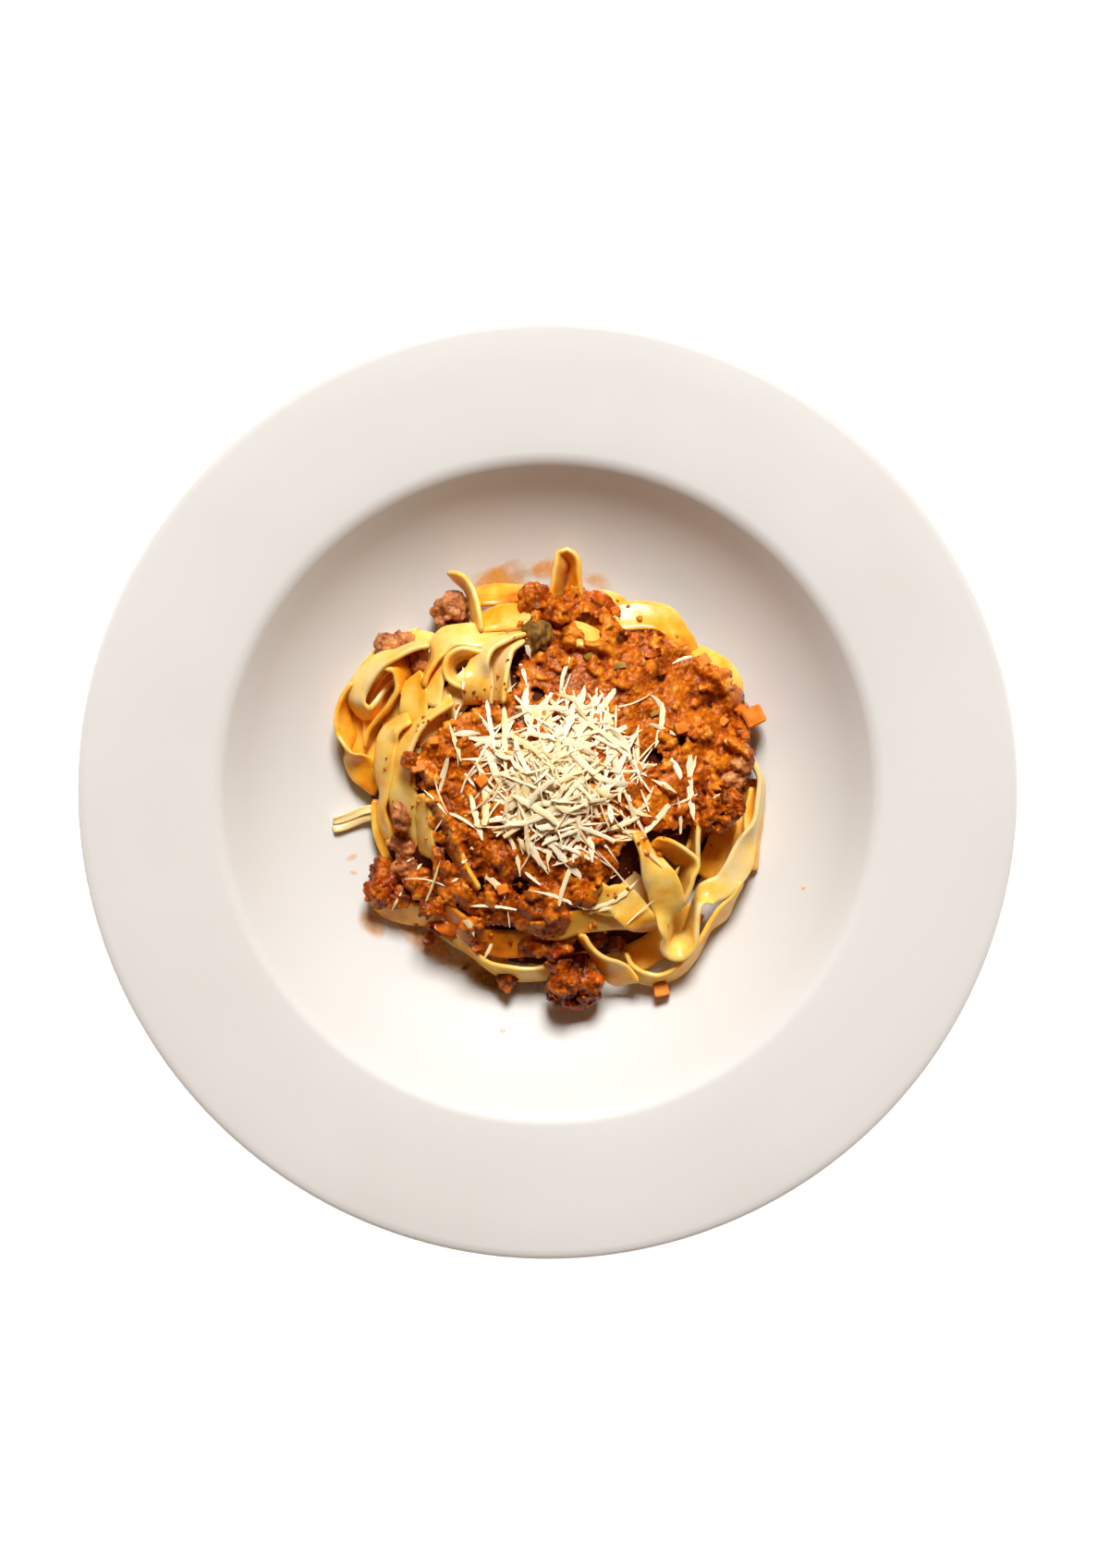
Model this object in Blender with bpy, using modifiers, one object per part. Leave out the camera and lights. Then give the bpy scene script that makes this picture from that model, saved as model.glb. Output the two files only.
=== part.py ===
"""Fettuccine bolognese in a wide-rimmed pasta bowl.

Metres, +Z up, origin at the middle of the foot ring, on the table. Sizes below are in
millimetres and are turned to metres where a mesh is made. Each named object is one solid.
"""

import math
import random

import bmesh
import bpy
from mathutils import Matrix, Vector, noise
from mathutils.bvhtree import BVHTree

MM = 0.001

# ---- bowl -----------------------------------------------------------------------------
BOWL_RADIUS = 137.5
RIM_Z = 31.0
LIP_RADIUS = 92.0
LIP_BEND = 11.5
FLOOR_RADIUS = 50.0
FLOOR_Z = 8.0
WALL_BEND = 55.0
WALL_ANGLE = 44.0
WALL_THICK = 4.6
FOOT_RADIUS = 59.0
FOOT_WIDTH = 4.0
BOWL_STEPS = 48

# ---- food -----------------------------------------------------------------------------
GAP = 0.35
CUT_HEIGHT = 60.0
FOOD_Z = FLOOR_Z + GAP
HEAP_HEIGHT = 30.5
HEAP_SPREAD = 68.0
CORE_RADIUS = 53.0
CORE_SEGMENTS = 24
CORE_RINGS = 10
NOODLE_WIDTH = 9.2
NOODLE_THICK = 1.4
LIFT = 0.3
SHRED_WIDTH = 1.9
SHRED_THICK = 1.0
SEED = 7

# A noodle is a list of places along it: its first edge in plan (x, y), its second edge in plan (x, y), the
# height of its middle, and its lean: 1 where the first edge is the higher, -1 where it is the lower, 0 flat.
# What the plan leaves of the width stands in height. Plan places hold at MID_Z; lower ones lie further out.
MID_Z = 30.0
OUTWARD = 0.0012
NOODLES = {
    "left_outer": ((-56.5, 32, -54, 30, 17, 1), (-60.5, 27, -56.6, 25.5, 15.5, 1),
                   (-62, 21, -57, 20, 15.3, 1), (-61, 15.5, -56, 16, 15.3, 1),
                   (-58, 11.2, -58.2, 11.6, 15.5, 1), (-54.5, 9.8, -59.4, 8, 15, 1),
                   (-50.8, 8.6, -56.8, 2.6, 14.5, 1), (-46, 5, -50.2, -2.8, 14, 1)),
    "left_curl": ((-34, 43, -34.8, 41.8, 25, -1), (-39.5, 42.7, -39, 40.4, 25, -1),
                  (-44.8, 41, -43.8, 37.6, 25, -1), (-50, 39.1, -47.8, 35.3, 24, -1),
                  (-55, 34.4, -50.2, 32.8, 22.5, -1), (-58.5, 30, -52, 29.4, 21, -1),
                  (-58.8, 25.4, -53.2, 26.2, 20, -1), (-56.2, 22, -52.9, 24.6, 19, -1),
                  (-53.2, 20.1, -51.4, 23.4, 18.5, -1), (-50.5, 21.4, -49.4, 25.8, 18, -1),
                  (-48.4, 25, -47, 29.5, 18, -1)),
    "left_curl_inside": ((-46.5, 38.6, -47.5, 34.8, 24, -1), (-42.4, 38.2, -45, 34.4, 24.5, -1),
                         (-40, 35, -44.2, 32.2, 24, -1), (-41, 30.6, -44.1, 28.8, 22.5, -1),
                         (-43, 25.6, -46.5, 24.8, 20.5, -1), (-45.2, 21.8, -49.7, 20.6, 18.5, -1),
                         (-48.2, 17.8, -52.3, 16.5, 16.5, -1), (-50.8, 13, -53.5, 12, 15, -1)),
    "left_under": ((-43.5, 32, -36.5, 33, 25, -1), (-42.6, 27.5, -35, 28, 27, -1),
                   (-43, 23, -35.3, 23.5, 27, -1), (-43.5, 18, -37, 18, 25.5, -1)),
    "left_strap": ((-43.5, 21.8, -37.5, 21.5, 27, -1), (-47.2, 17.4, -42.6, 18.4, 26, -1),
                   (-50.2, 14.4, -43.6, 13.5, 25, -1), (-50.8, 9.5, -44.6, 9, 24.5, -1),
                   (-50.4, 4.5, -45.7, 3.5, 23, -1), (-49.6, -1, -46.6, -1.5, 21, -1),
                   (-49.6, -6, -47.3, -6, 19, -1), (-49, -11, -46.3, -11, 17, -1),
                   (-47.5, -16, -44.5, -15, 15.5, -1)),
    "left_broad": ((-28, 28.5, -27.5, 24.5, 32.5, -1), (-32.5, 25.2, -31.2, 21.8, 32, -1),
                   (-37, 21.8, -35.2, 18.4, 31.5, -1), (-41, 17.2, -38, 14.5, 31, -1),
                   (-44, 11, -40, 10, 30, -1), (-45.7, 4.5, -38.8, 4.5, 28.5, -1),
                   (-46.3, -1.5, -38.2, -1.5, 27, -1), (-45.8, -6.5, -38.8, -6.5, 24.5, -1),
                   (-44, -12, -38.5, -12.5, 20.5, -1), (-42, -17, -37, -17.5, 17, -1)),
    "arch": ((-38.8, 30.5, -35.2, 31, 26.5, -1), (-36.2, 34.5, -33.3, 35.5, 27, -1),
             (-34.4, 39.2, -31.2, 39.2, 27.5, -1), (-34, 43.2, -28.6, 41.2, 28, -1),
             (-31.2, 47, -26.5, 41.8, 28.5, -1), (-26, 48.4, -23.5, 41.8, 28.5, -1),
             (-20.5, 48.2, -20, 41.4, 28.5, -1), (-15.6, 47.6, -16.8, 43, 28, -1),
             (-11, 47.2, -13, 44, 27.5, -1)),
    "ring": ((-17, 40, -19.5, 37, 29, 1), (-21.5, 40.6, -22.6, 37.8, 29, 1),
             (-25.2, 41, -25.6, 37.4, 29.5, 1), (-28.6, 38.8, -27.2, 36, 29.5, 1),
             (-29.6, 35.2, -27.4, 34.6, 29.5, 1), (-29, 32.2, -26.6, 33.2, 29.5, 1),
             (-26.8, 30.2, -25, 32.4, 29.5, 1), (-23.6, 29, -22.6, 31.5, 29, 1)),
    "ring_outside": ((-19.5, 42.4, -19.5, 40, 27.5, -1), (-24.5, 42, -24.5, 40.2, 27, -1),
                     (-29, 40.3, -28.5, 37.5, 27, -1), (-32.5, 37.2, -30.5, 33.5, 27.5, -1),
                     (-35.5, 33.8, -31, 29.5, 28.5, -1), (-37.5, 30, -31.2, 26, 29, -1),
                     (-38.5, 26, -32, 23, 29, -1)),
    "tongue": ((-7, 46.5, -7, 44.8, 29, -1), (-11.5, 45.9, -11, 43.6, 30.5, -1),
               (-16, 43.8, -14.7, 41.9, 32, -1), (-20.2, 40.8, -16.4, 39.6, 33.5, -1),
               (-23.2, 37.4, -16.9, 36.2, 34.5, -1), (-24.8, 33.4, -16.7, 32.5, 35, 0),
               (-25.2, 29.4, -16.6, 29, 34.5, 0), (-24.4, 25.6, -17.6, 25.8, 32, 0),
               (-23.4, 24.8, -18.6, 25, 28, 0)),
    "tongue_beside": ((-10, 44, -7, 43, 30, -1), (-14.5, 41.2, -10, 40.5, 32, -1),
                      (-16, 37, -10.8, 36.5, 33.5, -1), (-16.1, 32.5, -11.3, 32, 34, -1),
                      (-16, 28.5, -12, 28.5, 34, -1), (-15.6, 25, -12.5, 25, 34, -1)),
    "back_flat": ((-24, 50, -22, 45, 22.5, -1), (-19.8, 51.4, -18, 46.5, 25.5, -1),
                  (-14, 54.2, -12.5, 46.4, 27, -1), (-8, 54.8, -7.5, 46.5, 28, -1),
                  (-2, 54, -2, 46, 28.5, -1)),
    "back_low": ((-23, 59, -22, 53.5, 17, -1), (-18.5, 60, -18, 53.5, 18.5, -1),
                 (-12, 60.2, -12, 54, 19, -1), (-6, 60, -6, 54.5, 19.5, -1), (0, 59, 0, 54, 20, -1)),
    "back_strip": ((-27.3, 61.8, -27.5, 60.6, 17, 1), (-23.7, 60.6, -25.4, 59.2, 19.5, 1),
                   (-21.4, 57.6, -23.6, 56.4, 21.5, 1), (-20.5, 54, -22.8, 53, 23.5, 1),
                   (-19.9, 50, -22, 49.5, 25.5, 1), (-19, 46, -21, 45.5, 26, 1)),
    "top_loop": ((2, 50, 6, 49.5, 14, 1), (0.8, 56, 4.6, 56, 14, 1), (1.6, 61.5, 5, 62, 15.5, 1),
                 (2.5, 65.5, 6.2, 65, 16.8, 1), (3.2, 69, 6, 67.5, 17, 1), (6, 69.6, 6.5, 66, 17, 1),
                 (8.6, 67.5, 6.8, 64, 16.8, 1), (9.6, 63.5, 6, 61, 16.2, 1),
                 (9.8, 58.5, 5.5, 56.5, 15.2, 1), (9.5, 52, 5, 49, 14, 1)),
    "top_right": ((13, 48, 12, 40, 17.5, -1), (17, 53, 16.5, 45, 18.5, -1),
                  (24, 54.6, 24.5, 46.5, 18.5, -1), (31, 54.6, 31, 46.2, 18, -1),
                  (36.2, 53, 33.5, 45, 17.5, -1), (40, 48, 36, 42, 17, -1), (43.3, 42, 38, 36.5, 16, -1),
                  (43, 34, 35.5, 29, 14, -1)),
    "top_right_outer": ((8, 53, 8, 44.5, 14, -1), (12, 58, 12, 50, 14, -1),
                        (19, 57.5, 18.5, 49.5, 14.5, -1), (24.5, 53, 22.5, 45, 14.5, -1),
                        (28, 46, 24, 39, 15, -1)),
    "top_patch": ((5, 49.5, 6, 42.5, 28.5, -1), (9.5, 48.5, 10.5, 41.5, 30, -1),
                  (14, 46.8, 15, 40, 31, -1), (19, 45, 20, 38, 32, -1)),
    "right_edge": ((38, 37, 32.5, 31, 15, -1), (43, 42, 39.5, 35.5, 15.5, -1),
                   (48.5, 40.5, 44.5, 34, 15.5, -1), (54, 36.5, 49.5, 30.5, 15.5, -1),
                   (57, 31.3, 51.5, 26.5, 15, -1), (56, 23.5, 49, 21, 14.5, -1),
                   (50, 17.5, 43.5, 16, 14.5, -1)),
    "fold": ((24.5, -13, 27.8, -12, 36, 1), (26.3, -18.5, 31, -18.2, 36, 1), (27, -24, 35.5, -23.7, 35, 1),
             (28.4, -29, 39.3, -28, 33, 1), (30.4, -34.3, 39.8, -34, 30, 1),
             (33, -38, 37.4, -38.4, 27.5, 1), (34.5, -41.5, 36.2, -41.8, 25, 1),
             (33.3, -45.4, 36, -43.6, 23, 1), (34.2, -48.8, 37, -42.6, 21.5, 1),
             (38, -50.2, 38.6, -42, 20.8, 1), (41.7, -47.5, 39.8, -41.2, 20.8, 1),
             (42.8, -43.8, 41, -40, 21, 1), (43.2, -39.2, 41.7, -37, 21.5, 1),
             (44.6, -34.2, 42.7, -32.2, 22, 1), (48.5, -32.6, 45.2, -28, 21.5, 0),
             (54, -31, 49.5, -24.8, 21, 0), (58.5, -25.3, 53, -19.5, 20.5, -1),
             (60.5, -18, 55.8, -14.3, 19.5, -1), (61.8, -11, 59.2, -9.8, 18.5, -1),
             (62.5, -4, 60.9, -4, 18, -1), (62.9, 2, 61.4, 2, 18, -1), (61.2, 7.5, 59.2, 7, 18.5, -1),
             (58, 12.5, 55.5, 11.5, 20, -1), (54, 16.5, 50, 15, 21, -1)),
    "right_outer": ((63, 1, 58.5, 0, 15, -1), (62.9, -6, 58, -6, 15, -1), (62.5, -12, 57.5, -12, 15, -1),
                    (61.9, -18.5, 57, -17, 15, -1), (61, -24.4, 55, -22, 15, -1)),
    "front_outer": ((57.5, -28, 56, -26.5, 16.5, -1), (55, -32.3, 53.3, -31.5, 16.5, -1),
                    (52.3, -37.5, 49.3, -35.8, 16.5, -1), (48.2, -41.3, 46.2, -40, 16.5, -1),
                    (45.8, -45.6, 43.5, -44.5, 16.5, -1), (42.5, -50.5, 40.4, -48.8, 16.5, -1),
                    (38.3, -55.2, 36.5, -51.8, 16.5, -1), (33, -57.2, 31.8, -53.8, 16.2, -1),
                    (28, -56.2, 27.5, -53.2, 16, -1), (24, -53.2, 24.5, -50.6, 16, -1),
                    (21.5, -48.5, 23, -46.5, 16.5, -1)),
    "front_loop": ((31, -13.5, 31, -17, 35, 1), (35.5, -14.3, 34.5, -19, 34, 1),
                   (40, -17.5, 38, -21.5, 32, 1), (43, -20.6, 39.8, -23.5, 30.5, 1),
                   (42.7, -24.8, 39.2, -26, 29.5, 1), (41.9, -28.8, 38.5, -28.5, 28.5, 1),
                   (40.5, -32.5, 37.5, -31.5, 27, 1)),
    "right_strip": ((44, -8, 42.4, -8, 26, 1), (44, -14, 42.4, -14, 25, 1),
                    (43.8, -21, 42.6, -21, 22.5, 1)),
    "right_deep": ((55, -9, 49, -9, 17.5, 0), (53, -15, 47.5, -15.5, 16.5, 0),
                   (51, -21, 45, -20.5, 15.5, 0), (47.5, -26, 42, -24.5, 14.5, 0)),
    "front_fold": ((13, -25.5, 10, -33, 33.5, 1), (18.5, -28.5, 14.5, -36.5, 32.5, 1),
                   (24, -28.2, 19, -37.5, 31.5, 1), (28.3, -32.6, 23, -41.2, 29.5, 1),
                   (31.5, -36.8, 28, -41.6, 27, 1), (34, -39.2, 33, -40.8, 25, 1)),
    "front_return": ((33, -34, 31, -41, 25.5, 1), (25, -34, 24, -41.5, 26.5, 1),
                     (17, -33.5, 16.5, -41.3, 28, 1), (9, -35, 8.5, -42.6, 28, 1),
                     (3, -36.5, 2.5, -44, 27.5, 1), (-3, -35, -3.5, -42.5, 27.5, 1),
                     (-8, -32.5, -9, -39.5, 28, 1)),
    "front_left": ((-31.5, -29.5, -35, -35.5, 25, 1), (-24.5, -36.8, -28, -41, 24, 1),
                   (-19.5, -40, -23.5, -46.2, 23, 1), (-13.5, -41, -16.5, -48.9, 22, 1),
                   (-7.5, -41.5, -8.5, -49, 21.5, 1), (-1.5, -42, -1.5, -48.5, 21.5, 1),
                   (4, -42, 4.5, -48, 22, 1)),
    "front_edge": ((-27.5, -44.5, -25.5, -42, 18, -1), (-22.5, -49, -21.5, -46.8, 17.2, -1),
                   (-17.5, -53, -17, -50.3, 16.8, -1), (-11.5, -55.5, -11.5, -52, 16.5, -1),
                   (-5, -56.6, -5.2, -51.9, 16.3, -1), (0.5, -55.5, 0, -50.8, 16.5, -1),
                   (5.5, -52, 4.5, -48, 17, -1)),
    "front_drop": ((8.5, -42.5, 10, -42, 25, -1), (10.3, -45.5, 12, -45, 24, -1),
                   (12.8, -49.3, 16, -48.3, 22.5, -1), (15.5, -53.3, 20, -49.7, 20.5, -1),
                   (18.3, -56.8, 23, -51.2, 18.5, -1), (21.5, -58.8, 25.4, -54.7, 16, -1)),
    "left_front": ((-36, -3.5, -31.5, -2.5, 31, -1), (-33.5, -9, -29, -8, 31.5, -1),
                   (-31, -14.5, -26.8, -13, 31.5, -1), (-28.8, -19.5, -24.5, -18.5, 31.5, -1),
                   (-26, -25, -22.2, -24, 31, -1), (-22.5, -30.2, -19.8, -29, 30.5, -1)),
    "left_short": ((-40, -2, -36, -1, 29, -1), (-39, -8, -34, -7.5, 28.5, -1),
                   (-38.3, -14, -33.3, -13.5, 27, -1), (-37, -20, -32.5, -19.5, 24.5, -1)),
    "low_left": ((-52.5, -32, -48, -28, 13.5, -1), (-49.5, -36.5, -45.5, -31, 13.5, -1),
                 (-43, -39, -40.5, -33, 14, -1), (-36.5, -40, -35, -33.5, 15.5, -1),
                 (-30, -39, -29.5, -33, 18, -1)),
    "upper_left": ((-50.5, 41, -47, 36, 15.5, -1), (-46, 44.5, -43, 38.5, 16.5, -1),
                   (-40, 46.3, -39, 39.5, 18, -1), (-34, 46, -34, 39.5, 20, -1)),
}
NOODLE_TIP = ((-44, -3.5, -44, -6.5, 12.5, 0), (-49.5, -4.8, -49.6, -8.2, 11.5, 0),
              (-54, -6, -54.2, -9.2, 10.5, 0), (-58.5, -8, -58.2, -10.8, 10, 0),
              (-62.8, -9.6, -62.4, -11.6, 10, 0))

# The noodles round the foot of the heap follow a rule: arcs one after another.
FLANK_NOODLES = 7
FLANK_SWEEP = 60.0
FLANK_RADIUS = 46.5
FLANK_SLANT = 2.6
FLANK_Z = (15.0, 20.0)

# How far the meat sauce reaches from its middle, in equal steps of angle from +X.
SAUCE_MIDDLE = (5.0, 8.0)
SAUCE_REACH = (54, 53, 50, 44, 52, 33, 26, 36, 44, 43, 54, 46, 49, 37, 32, 46)
SAUCE_THICK = 5.0
SAUCE_RINGS = 7
SAUCE_SPOKES = 32
SAUCE_LUMPS = 22

CHEESE_MIDDLE = (4.0, 2.5)
CHEESE_RADIUS = (23.0, 22.0)
CHEESE_HEIGHT = 6.0
CHEESE_RINGS = 4
CHEESE_SPOKES = 18
CHEESE_SHREDS = 40

# Pieces with a shape of their own, on the heap and on the bowl's floor: middle and half sizes.
CLUMPS = {
    "meat_clump_back": ((-29.8, 53.5, 17.0), (4.8, 5.8, 5.4)),
    "meat_clump_left": ((-45.0, 43.0, 16.5), (6.4, 4.2, 4.6)),
    "meat_clump_low_left": ((-49.5, -28.5, 16.5), (5.4, 8.0, 5.6)),
    "meat_clump_front": ((7.5, -59.0, 16.5), (8.4, 6.2, 5.2)),
    "meat_clump_right": ((49.5, -4.5, 27.5), (8.6, 8.4, 6.0)),
    "mushroom_piece": ((-3.2, 44.5, 31.5), (4.4, 5.0, 3.4)),
}
# Diced carrot: middle, side and turn in degrees.
CARROTS = {
    "carrot_loose": ((33.8, -59.8, 15.2), 4.8, 12.0),
    "carrot_edge": ((61.0, 21.5, 18.0), 6.6, 25.0),
}

# Single shreds of cheese: x, y, direction in degrees and length, by what they lie on.
SAUCE_SHREDS = (
    (39.5, 37.5, 20, 8.5), (41.5, 2, 88, 13), (43, 4, 75, 11), (-28, 14, -75, 13), (-26, 21, 70, 8),
    (-31, -1, -70, 13), (-11, 33, -65, 9), (35, -5, 35, 15), (38, 2, -60, 9), (-14, -31, 5, 12),
    (-22, -9, -35, 10), (6, -29, 60, 11),
)
PASTA_SHREDS = ((19, -32, 38, 14), (28, -34.5, 42, 11), (-23, -41.5, -62, 5.5), (33, -22, 20, 2.5))


# ---- helpers --------------------------------------------------------------------------
def clear_scene():
    for obj in list(bpy.data.objects):
        bpy.data.objects.remove(obj, do_unlink=True)


def make_collection(name):
    collection = bpy.data.collections.new(name)
    bpy.context.scene.collection.children.link(collection)
    return collection


def make_material(name, colour, roughness):
    material = bpy.data.materials.new(name)
    material.use_nodes = True
    shader = material.node_tree.nodes["Principled BSDF"]
    shader.inputs["Base Color"].default_value = (*colour, 1.0)
    shader.inputs["Roughness"].default_value = roughness
    shader.inputs["Metallic"].default_value = 0.0
    material.diffuse_color = (*colour, 1.0)
    return material


def add_object(name, bm, collection, material):
    mesh = bpy.data.meshes.new(name)
    bm.to_mesh(mesh)
    bm.free()
    obj = bpy.data.objects.new(name, mesh)
    collection.objects.link(obj)
    mesh.materials.append(material)
    return obj


def apply_modifiers(obj):
    graph = bpy.context.evaluated_depsgraph_get()
    mesh = bpy.data.meshes.new_from_object(obj.evaluated_get(graph))
    obj.modifiers.clear()
    obj.data = mesh


def smooth_value(values, index, share):
    """Catmull-Rom between values[index] and the next one."""
    last = len(values) - 1
    a = values[max(index - 1, 0)]
    b = values[index]
    c = values[min(index + 1, last)]
    d = values[min(index + 2, last)]
    return 0.5 * (2 * b + (c - a) * share + (2 * a - 5 * b + 4 * c - d) * share**2
                  + (3 * b - a - 3 * c + d) * share**3)


def around(values, angle):
    """A value at an angle, read smoothly from equal steps of a full turn."""
    place = (angle % (2 * math.pi)) / (2 * math.pi) * len(values)
    index = int(place)
    picked = [values[(index + k) % len(values)] for k in (-1, 0, 1, 2)]
    return smooth_value(picked, 1, place - index)


def heap_z(x, y):
    """Height of the smooth heap that the noodles lie on."""
    share = min(1.0, math.hypot(x, y) / HEAP_SPREAD)
    return FOOD_Z + HEAP_HEIGHT * (1 - share**2.2)


def bowl_z(x, y):
    """Height of the bowl's inner face, whose wall bends up outside its flat floor."""
    past = max(0.0, math.hypot(x, y) - FLOOR_RADIUS) / WALL_BEND
    return FLOOR_Z + WALL_BEND * (1 - math.sqrt(max(0.0, 1 - past**2)))


def heap_normal(x, y):
    step = 2.0
    slope_x = (heap_z(x + step, y) - heap_z(x - step, y)) / (2 * step)
    slope_y = (heap_z(x, y + step) - heap_z(x, y - step)) / (2 * step)
    return Vector((-slope_x, -slope_y, 1.0)).normalized()


def tree_of(objects):
    """One search tree over several meshes, in millimetres."""
    points, faces = [], []
    for obj in objects:
        start = len(points)
        points.extend(v.co / MM for v in obj.data.vertices)
        faces.extend([start + i for i in face.vertices] for face in obj.data.polygons)
    return BVHTree.FromPolygons(points, faces)


def top_under(tree, x, y, default):
    hit = tree.ray_cast(Vector((x, y, 200.0)), Vector((0, 0, -1)))[0]
    return hit.z if hit else default


def triangulate(obj):
    """Twisted quads are split before a union, so that both solids agree on their shape."""
    bm = bmesh.new()
    bm.from_mesh(obj.data)
    bmesh.ops.triangulate(bm, faces=bm.faces)
    bm.to_mesh(obj.data)
    bm.free()


def keep_main_body(obj):
    """Drops loose scraps and the walls of sealed hollows that a union leaves."""
    bm = bmesh.new()
    bm.from_mesh(obj.data)
    bmesh.ops.triangulate(bm, faces=bm.faces)
    left = set(bm.faces)
    bodies = []
    while left:
        stack = [left.pop()]
        body = list(stack)
        while stack:
            face = stack.pop()
            for edge in face.edges:
                for other in edge.link_faces:
                    if other in left:
                        left.remove(other)
                        stack.append(other)
                        body.append(other)
        volume = sum(f.verts[0].co.dot(f.verts[1].co.cross(f.verts[2].co)) for f in body)
        bodies.append((volume, body))
    bodies.sort(key=lambda entry: entry[0])
    for _, body in bodies[:-1]:
        bmesh.ops.delete(bm, geom=body, context="FACES")
    bm.to_mesh(obj.data)
    bm.free()


def combine(obj, pieces, operation):
    """One Boolean of obj with a collection of pieces, which are then removed."""
    holder = make_collection("working")
    for each in (obj, *pieces):
        triangulate(each)
    for piece in pieces:
        for owner in list(piece.users_collection):
            owner.objects.unlink(piece)
        holder.objects.link(piece)
    modifier = obj.modifiers.new("combine", "BOOLEAN")
    modifier.operation = operation
    modifier.operand_type = "COLLECTION"
    modifier.collection = holder
    modifier.solver = "MANIFOLD"
    apply_modifiers(obj)
    for piece in pieces:
        bpy.data.objects.remove(piece, do_unlink=True)
    bpy.data.collections.remove(holder)
    keep_main_body(obj)


# ---- bowl -----------------------------------------------------------------------------
def arc(radius, z, bend, first_angle, last_angle, count):
    """Points of an upward bend whose level point would be at radius and z."""
    points = []
    for k in range(count + 1):
        angle = math.radians(first_angle + (last_angle - first_angle) * k / count)
        points.append((radius + bend * math.sin(angle), z + bend * (1 - math.cos(angle))))
    return points


def bowl_profile():
    """The section from the floor's middle, up the wall, over the lip and the rim and down to the foot."""
    inside = [(0.0, FLOOR_Z)] + arc(FLOOR_RADIUS, FLOOR_Z, WALL_BEND, 0, WALL_ANGLE, 6)
    lip_top = LIP_RADIUS + LIP_BEND * math.sin(math.radians(WALL_ANGLE))
    lip = arc(lip_top, RIM_Z - 0.6, -LIP_BEND, WALL_ANGLE, 8, 3)
    rim = [(lip_top + 12.0, RIM_Z), (BOWL_RADIUS - 8.0, RIM_Z - 0.3), (BOWL_RADIUS - 2.0, RIM_Z - 1.0),
           (BOWL_RADIUS, RIM_Z - 2.8), (BOWL_RADIUS - 1.6, RIM_Z - 4.6)]
    under = [(lip_top + 2.0, RIM_Z - 1.4 - WALL_THICK)]
    under_z = FLOOR_Z - WALL_THICK
    outside = arc(FLOOR_RADIUS, under_z, WALL_BEND + WALL_THICK, 12, WALL_ANGLE - 2, 5)[::-1]
    foot = [(FOOT_RADIUS, 0.0), (FOOT_RADIUS - FOOT_WIDTH, 0.0), (FOOT_RADIUS - FOOT_WIDTH - 1.5, under_z),
            (0.0, under_z)]
    return inside + lip + rim + under + outside + foot


def make_bowl(collection):
    bm = bmesh.new()
    points = [bm.verts.new((r * MM, 0.0, z * MM)) for r, z in bowl_profile()]
    for a, b in zip(points, points[1:]):
        bm.edges.new((a, b))
    bowl = add_object("bowl", bm, collection, make_material("glazed_porcelain", (0.84, 0.80, 0.75), 0.18))
    turn = bowl.modifiers.new("turn", "SCREW")
    turn.axis = "Z"
    turn.steps = BOWL_STEPS
    turn.render_steps = BOWL_STEPS
    turn.use_merge_vertices = True
    turn.merge_threshold = 0.0001
    turn.use_smooth_shade = True
    apply_modifiers(bowl)
    bm = bmesh.new()
    bm.from_mesh(bowl.data)
    bmesh.ops.remove_doubles(bm, verts=bm.verts, dist=1e-5)
    bmesh.ops.recalc_face_normals(bm, faces=bm.faces)
    bm.to_mesh(bowl.data)
    bm.free()
    bowl.data.set_sharp_from_angle(angle=math.radians(40))
    return bowl


# ---- noodles --------------------------------------------------------------------------
def noodle_edges(places, width):
    """The two edges of a noodle in space, lifted as one where they would touch the bowl."""
    clear = GAP + NOODLE_THICK + LIFT
    for x1, y1, x2, y2, z, lean in places:
        out = 1 + (MID_Z - z) * OUTWARD
        spread = math.hypot(x1 - x2, y1 - y2)
        rise = lean * math.sqrt(max(0.0, width**2 - spread**2)) / 2
        edges = [Vector((x1 * out, y1 * out, z + rise)), Vector((x2 * out, y2 * out, z - rise))]
        lift = max(0.0, *(bowl_z(edge.x, edge.y) + clear - edge.z for edge in edges))
        yield [edge + Vector((0, 0, lift)) for edge in edges]


def make_noodle(name, places, width, collection, material):
    """A strip one face wide between its two edges, thickened."""
    pairs = list(noodle_edges(places, width))
    bm = bmesh.new()
    bmesh.ops.create_grid(bm, x_segments=len(pairs) - 1, y_segments=1, size=1.0)
    for vert in bm.verts:
        first, second = pairs[round((vert.co.x + 1) / 2 * (len(pairs) - 1))]
        vert.co = (first if vert.co.y > 0 else second) * MM
    noodle = add_object(name, bm, collection, material)
    thicken = noodle.modifiers.new("thicken", "SOLIDIFY")
    thicken.thickness = NOODLE_THICK * MM
    thicken.offset = 0.0
    apply_modifiers(noodle)
    return noodle


def flank_noodles(picker):
    """Arcs of noodle that lean on the foot of the heap, one after another round it."""
    for k in range(FLANK_NOODLES):
        start = 2 * math.pi * k / FLANK_NOODLES + picker.uniform(-0.1, 0.1)
        low = picker.uniform(*FLANK_Z)
        places = []
        for share in (0.0, 0.33, 0.67, 1.0):
            angle = start + math.radians(FLANK_SWEEP) * share
            outer, inner = FLANK_RADIUS + FLANK_SLANT, FLANK_RADIUS - FLANK_SLANT
            places.append((outer * math.cos(angle), outer * math.sin(angle), inner * math.cos(angle),
                           inner * math.sin(angle), low + 3.0 * math.sin(math.pi * share), -1))
        yield places


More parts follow.
